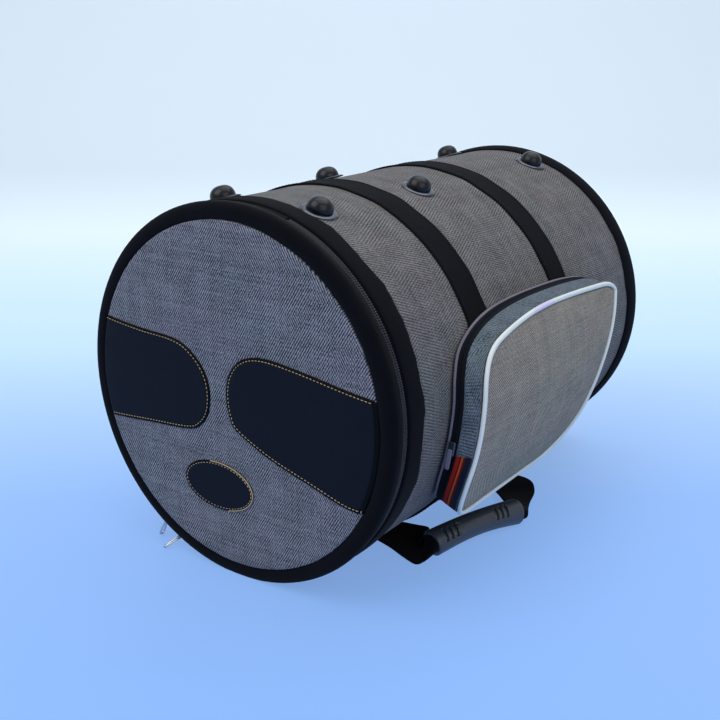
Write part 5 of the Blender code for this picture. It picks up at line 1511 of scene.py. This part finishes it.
# %% Straps
WEBBING_WIDTH, WEBBING_THICKNESS = 0.0370, 0.0022
CORE_WIDTH, CORE_THICKNESS = 0.0145, 0.0060
GRIP_RADIUS, GRIP_WALL, GRIP_WAIST, GRIP_ARCH = 0.0122, 0.0026, 0.0012, 0.0038
GRIP_START = np.array([0.1182, LID_Y + 0.1238, GRIP_RADIUS - GRIP_WAIST])
GRIP_END = np.array([0.1494, LID_Y + 0.2250, GRIP_RADIUS - GRIP_WAIST])
UPRIGHT = np.array([0.0, 0.0, 1.0])


def even_curve(values, count):
    """count rows along the Catmull-Rom curve through the stations' values."""
    fine = smooth_profile(np.asarray(values, float), 64, closed=False)
    places = np.linspace(0, len(fine) - 1, count)
    low = np.minimum(places.astype(int), len(fine) - 2)
    share = (places - low)[:, None]
    return fine[low] * (1 - share) + fine[low + 1] * share


def grip_line(count):
    """The grip's centre line: a straight run lifted by arch x sin(pi share)."""
    share = np.linspace(0, 1, count)[:, None]
    line = GRIP_START * (1 - share) + GRIP_END * share
    return line + UPRIGHT * GRIP_ARCH * np.sin(math.pi * share)


rough_line = grip_line(13)
near_along = unit(rough_line[1] - rough_line[0])
far_along = unit(rough_line[-1] - rough_line[-2])
across_grip = unit(np.cross(UPRIGHT, near_along))
face = rough_line[0] - near_along * 0.0003
near_strap = [((0.0420, -0.0750, 0.0020), (0.0420, -0.1120, 0.0020), 0.0022),
              ((0.0600, -0.0740, 0.0017), (0.0610, -0.1150, 0.0017), 0.0022),
              ((0.0780, -0.0720, 0.0024), (0.0820, -0.1210, 0.0017), 0.0022),
              ((0.0920, -0.0730, 0.0044), (0.1010, -0.1290, 0.0018), 0.0022),
              ((0.1000, -0.0830, 0.0072), (0.1168, -0.1338, 0.0018), 0.0024),
              ((0.1030, -0.0945, 0.0100), (0.1225, -0.1285, 0.0036), 0.0034),
              (face - near_along * 0.004 + across_grip * 0.0114,
               face - near_along * 0.004 - across_grip * 0.0114, 0.0110),
              (face + across_grip * 0.0108, face - across_grip * 0.0108, 0.0150)]


def make_folded_strap(name, stations, node, count=90):
    """Webbing lofted between its two edges: left and right edge points and a thickness at each station."""
    left, right = (even_curve([s[k] for s in stations], count) for k in (0, 1))
    thick = even_curve([(s[2],) for s in stations], count)
    middle, half = (left + right) / 2, (left - right) / 2
    turn = np.linspace(0, math.tau, 40, endpoint=False)
    power = np.clip((thick - 0.0022) / 0.010, 0, 1) * 0.65 + 0.22
    wide = np.sign(np.cos(turn)) * np.abs(np.cos(turn)) ** power
    high = np.sign(np.sin(turn)) * np.abs(np.sin(turn)) ** power
    points = middle[:, None] + half[:, None] * wide[..., None] + UPRIGHT * (thick / 2 * high)[..., None]
    points[..., 2] = np.maximum(points[..., 2], 0.0)
    along = np.concatenate([[0], np.cumsum(np.linalg.norm(np.diff(middle, axis=0), axis=1))])
    u, v = np.meshgrid(along, np.linspace(0, 2 * WEBBING_WIDTH, 41), indexing="ij")
    mesh = grid_mesh(name, points, uv=np.stack([u, v], -1), closed_v=True, cap_ends=True)
    make_piece(name, mesh, "handle", webbing, (node,), smooth_angle=50)


make_folded_strap("strap_near", near_strap, "handle_strap_front")

face = rough_line[-1] + far_along * 0.0003
across_grip = unit(np.cross(UPRIGHT, far_along))
far_strap = [((0.0420, 0.0410, 0.0020), (0.0420, 0.0780, 0.0020), 0.0022),
             ((0.0700, 0.0400, 0.0018), (0.0720, 0.0785, 0.0018), 0.0022),
             ((0.0900, 0.0395, 0.0022), (0.1060, 0.0770, 0.0060), 0.0022),
             ((0.1020, 0.0370, 0.0030), (0.1270, 0.0690, 0.0078), 0.0022),
             ((0.1100, 0.0305, 0.0040), (0.1378, 0.0560, 0.0044), 0.0022),
             ((0.1195, 0.0200, 0.0062), (0.1450, 0.0320, 0.0046), 0.0026),
             ((0.1300, 0.0085, 0.0088), (0.1520, 0.0140, 0.0070), 0.0046),
             (face + far_along * 0.0045 + across_grip * 0.0114,
              face + far_along * 0.0045 - across_grip * 0.0114, 0.0110),
             (face + across_grip * 0.0108, face - across_grip * 0.0108, 0.0150)]
make_folded_strap("strap_far", far_strap, "handle_strap_rear")


def make_grip_core(count=40):
    """The webbing inside the sleeve: an oblong section with rounded edges, standing upright, along the grip."""
    line = np.vstack([rough_line[0] + near_along * 0.001, rough_line[1:-1], rough_line[-1] + far_along * GRIP_WALL])
    centres = even_curve(line, count)
    along = unit(np.gradient(centres, axis=0))
    blend = np.clip(np.arange(count) / (count * 0.10), 0, 1)[:, None]
    along = unit(along * blend + near_along * (1 - blend))
    blend = blend[::-1]
    along = unit(along * blend + far_along * (1 - blend))
    across = unit(UPRIGHT - along * np.sum(UPRIGHT * along, axis=1, keepdims=True))
    up = np.cross(along, across)
    share = np.linspace(-1, 1, 17)
    top = np.stack([share * 0.985, np.full(17, 0.92) + 0.08 * np.abs(share) ** 8], -1)
    section = np.vstack([top, [[1.0, 0.45], [1.0, -0.45]], -top, [[-1.0, -0.45], [-1.0, 0.45]]])
    wide, thick = CORE_WIDTH / 2 * section[:, :1], CORE_THICKNESS / 2 * section[:, 1:]
    points = centres[:, None] + across[:, None] * wide + up[:, None] * thick
    length = np.concatenate([[0], np.cumsum(np.linalg.norm(np.diff(centres, axis=0), axis=1))])
    round_length = np.concatenate([[0], np.cumsum(np.linalg.norm(np.diff(
        np.vstack([section, section[:1]]) * [WEBBING_WIDTH / 2, WEBBING_THICKNESS / 2], axis=0), axis=1))])
    u, v = np.meshgrid(length, round_length, indexing="ij")
    mesh = grid_mesh("strap_core", points, uv=np.stack([u, v], -1), closed_v=True, cap_ends=True)
    make_piece("strap_core", mesh, "handle", webbing, ("handle_core",), smooth_angle=50)


make_grip_core()
print("straps made")

# %% [markdown]
# ## The moulded grip
#
# The grip is a plastic sleeve, slightly waisted, with two groups of three slots cut across it and a shallow
# parting groove along its lower side. It is one grid: along its centre line and round it. The slots are
# dents in the radius: a smooth step function of the distance from each slot's middle.

# %% Grip
SLOT_GROUPS, SLOT_PITCH = (0.16, 0.74), 0.0062


def make_grip_sleeve():
    """radius = R - waist sin(pi s) - slots - groove; then back through the bore at R - waist - wall."""
    rows, sides = 260, 128
    share = np.linspace(0, 1, rows)
    line = grip_line(rows)
    along = unit(np.gradient(line, axis=0))
    side = unit(np.cross(along, UPRIGHT))
    rise = np.cross(side, along)
    turn = np.linspace(0, math.tau, sides, endpoint=False)
    s, t = np.meshgrid(share, turn, indexing="ij")
    length = float(np.linalg.norm(GRIP_END - GRIP_START))
    radius = GRIP_RADIUS - GRIP_WAIST * np.sin(math.pi * s)
    ends = np.minimum(s, 1 - s) * length
    radius = radius - 0.0012 * (1 - np.clip(ends / 0.0016, 0, 1)) ** 2
    arc = ((t - math.pi / 4 + math.pi) % math.tau - math.pi) * GRIP_RADIUS
    for group in SLOT_GROUPS:
        middle = group * length
        for step in (-1, 0, 1):
            away = s * length - middle - step * SLOT_PITCH - 0.10 * arc
            radius = radius - 0.0019 * soft_box(away, 0.0010, 0.0005) * soft_box(arc, 0.0066, 0.0008)
            lips = soft_box(np.abs(away) - 0.0020, 0.0002, 0.0004) * soft_box(arc, 0.0072, 0.0010)
            radius = radius + 0.00040 * lips
    past_group = s * length - SLOT_GROUPS[0] * length
    loop = np.hypot((past_group - 0.0098) / 0.0042, arc / 0.0068)
    radius = radius + 0.0007 * soft_box((loop - 1) * 0.004, 0.0003, 0.0005) * (past_group > 0.0085)
    groove = ((t - math.radians(-38) + math.pi) % math.tau - math.pi) * GRIP_RADIUS
    radius = radius - 0.0004 * soft_box(groove, 0.0002, 0.0004)
    spoke = side[:, None] * np.cos(t)[..., None] + rise[:, None] * np.sin(t)[..., None]
    outer = line[:, None] + radius[..., None] * spoke
    bore = GRIP_RADIUS - GRIP_WAIST - GRIP_WALL
    back = np.linspace(rows - 1, 0, 14).astype(int)
    inner = line[back, None] + bore * (side[back, None] * np.cos(turn)[None, :, None]
                                       + rise[back, None] * np.sin(turn)[None, :, None])
    points = np.concatenate([outer, inner])
    points[..., 2] = np.maximum(points[..., 2], 0.0)
    mesh = grid_mesh("grip_sleeve", points, closed_u=True, closed_v=True)
    make_piece("grip_sleeve", mesh, "handle", moulded, ("handle_grip",), smooth_angle=35)


make_grip_sleeve()
print("grip made")

# %% [markdown]
# ## The pocket's slider and pull
#
# The pocket's slider is a small cast block and its pull a flat bar with plain cross ribs. Each is fitted to
# the box of its CAD piece: the box's middle and axes come from the piece's own points. The main zip's two
# sliders are already right as solids, so they stay and only get their nickel finish.

# %% Ribbed bars
def own_box(name):
    """Middle, axes (rows, longest first) and half sizes of a CAD piece, from its points' main directions."""
    node = bpy.data.objects[name]
    points = np.array([node.matrix_world @ corner.co for corner in node.data.vertices])
    rough = points.mean(axis=0)
    axes = np.linalg.svd(points - rough, full_matrices=False)[2]
    local = (points - rough) @ axes.T
    low, high = local.min(axis=0), local.max(axis=0)
    return rough + (low + high) / 2 @ axes, axes, (high - low) / 2


def make_ribbed_bar(name, node, body, material, ribs):
    """Superellipse sections along the longest axis; thickness x (1 - 0.3 (1 - |sin(pi ribs s)|))."""
    middle, axes, half = own_box(node)
    s = np.linspace(-1, 1, 121)[:, None]
    turn = np.linspace(0, math.tau, 32, endpoint=False)[None]
    wide = np.sign(np.cos(turn)) * np.abs(np.cos(turn)) ** 0.45
    high = np.sign(np.sin(turn)) * np.abs(np.sin(turn)) ** 0.45
    taper = (1 - np.abs(s) ** 14) ** 0.5 * 0.5 + 0.5
    rib = 1 - 0.3 * (1 - np.abs(np.sin(math.pi * ribs * (s + 1) / 2))) * (np.abs(s) < 0.86) * (ribs > 0)
    local = np.stack(np.broadcast_arrays(s * half[0], wide * half[1] * taper, high * half[2] * taper * rib), -1)
    mesh = grid_mesh(name, middle + local @ axes, closed_v=True, cap_ends=True)
    make_piece(name, mesh, body, material, (node,), smooth_angle=40)


make_ribbed_bar("pocket_slider_block", "pocket_slider", "pocket_slider", dark_nickel, 0)
make_ribbed_bar("pocket_pull_bar", "pocket_pull", "pocket_pull", cord_grey_hard, 7)
for name in ("slider_left", "slider_right"):
    for slot in bpy.data.objects[name].material_slots:
        slot.material = nickel
print("sliders and pulls finished")

# %% [markdown]
# ## Last: the count of pieces
#
# The script ends by printing how many pieces it made.


print("pieces:", len(PIECES))
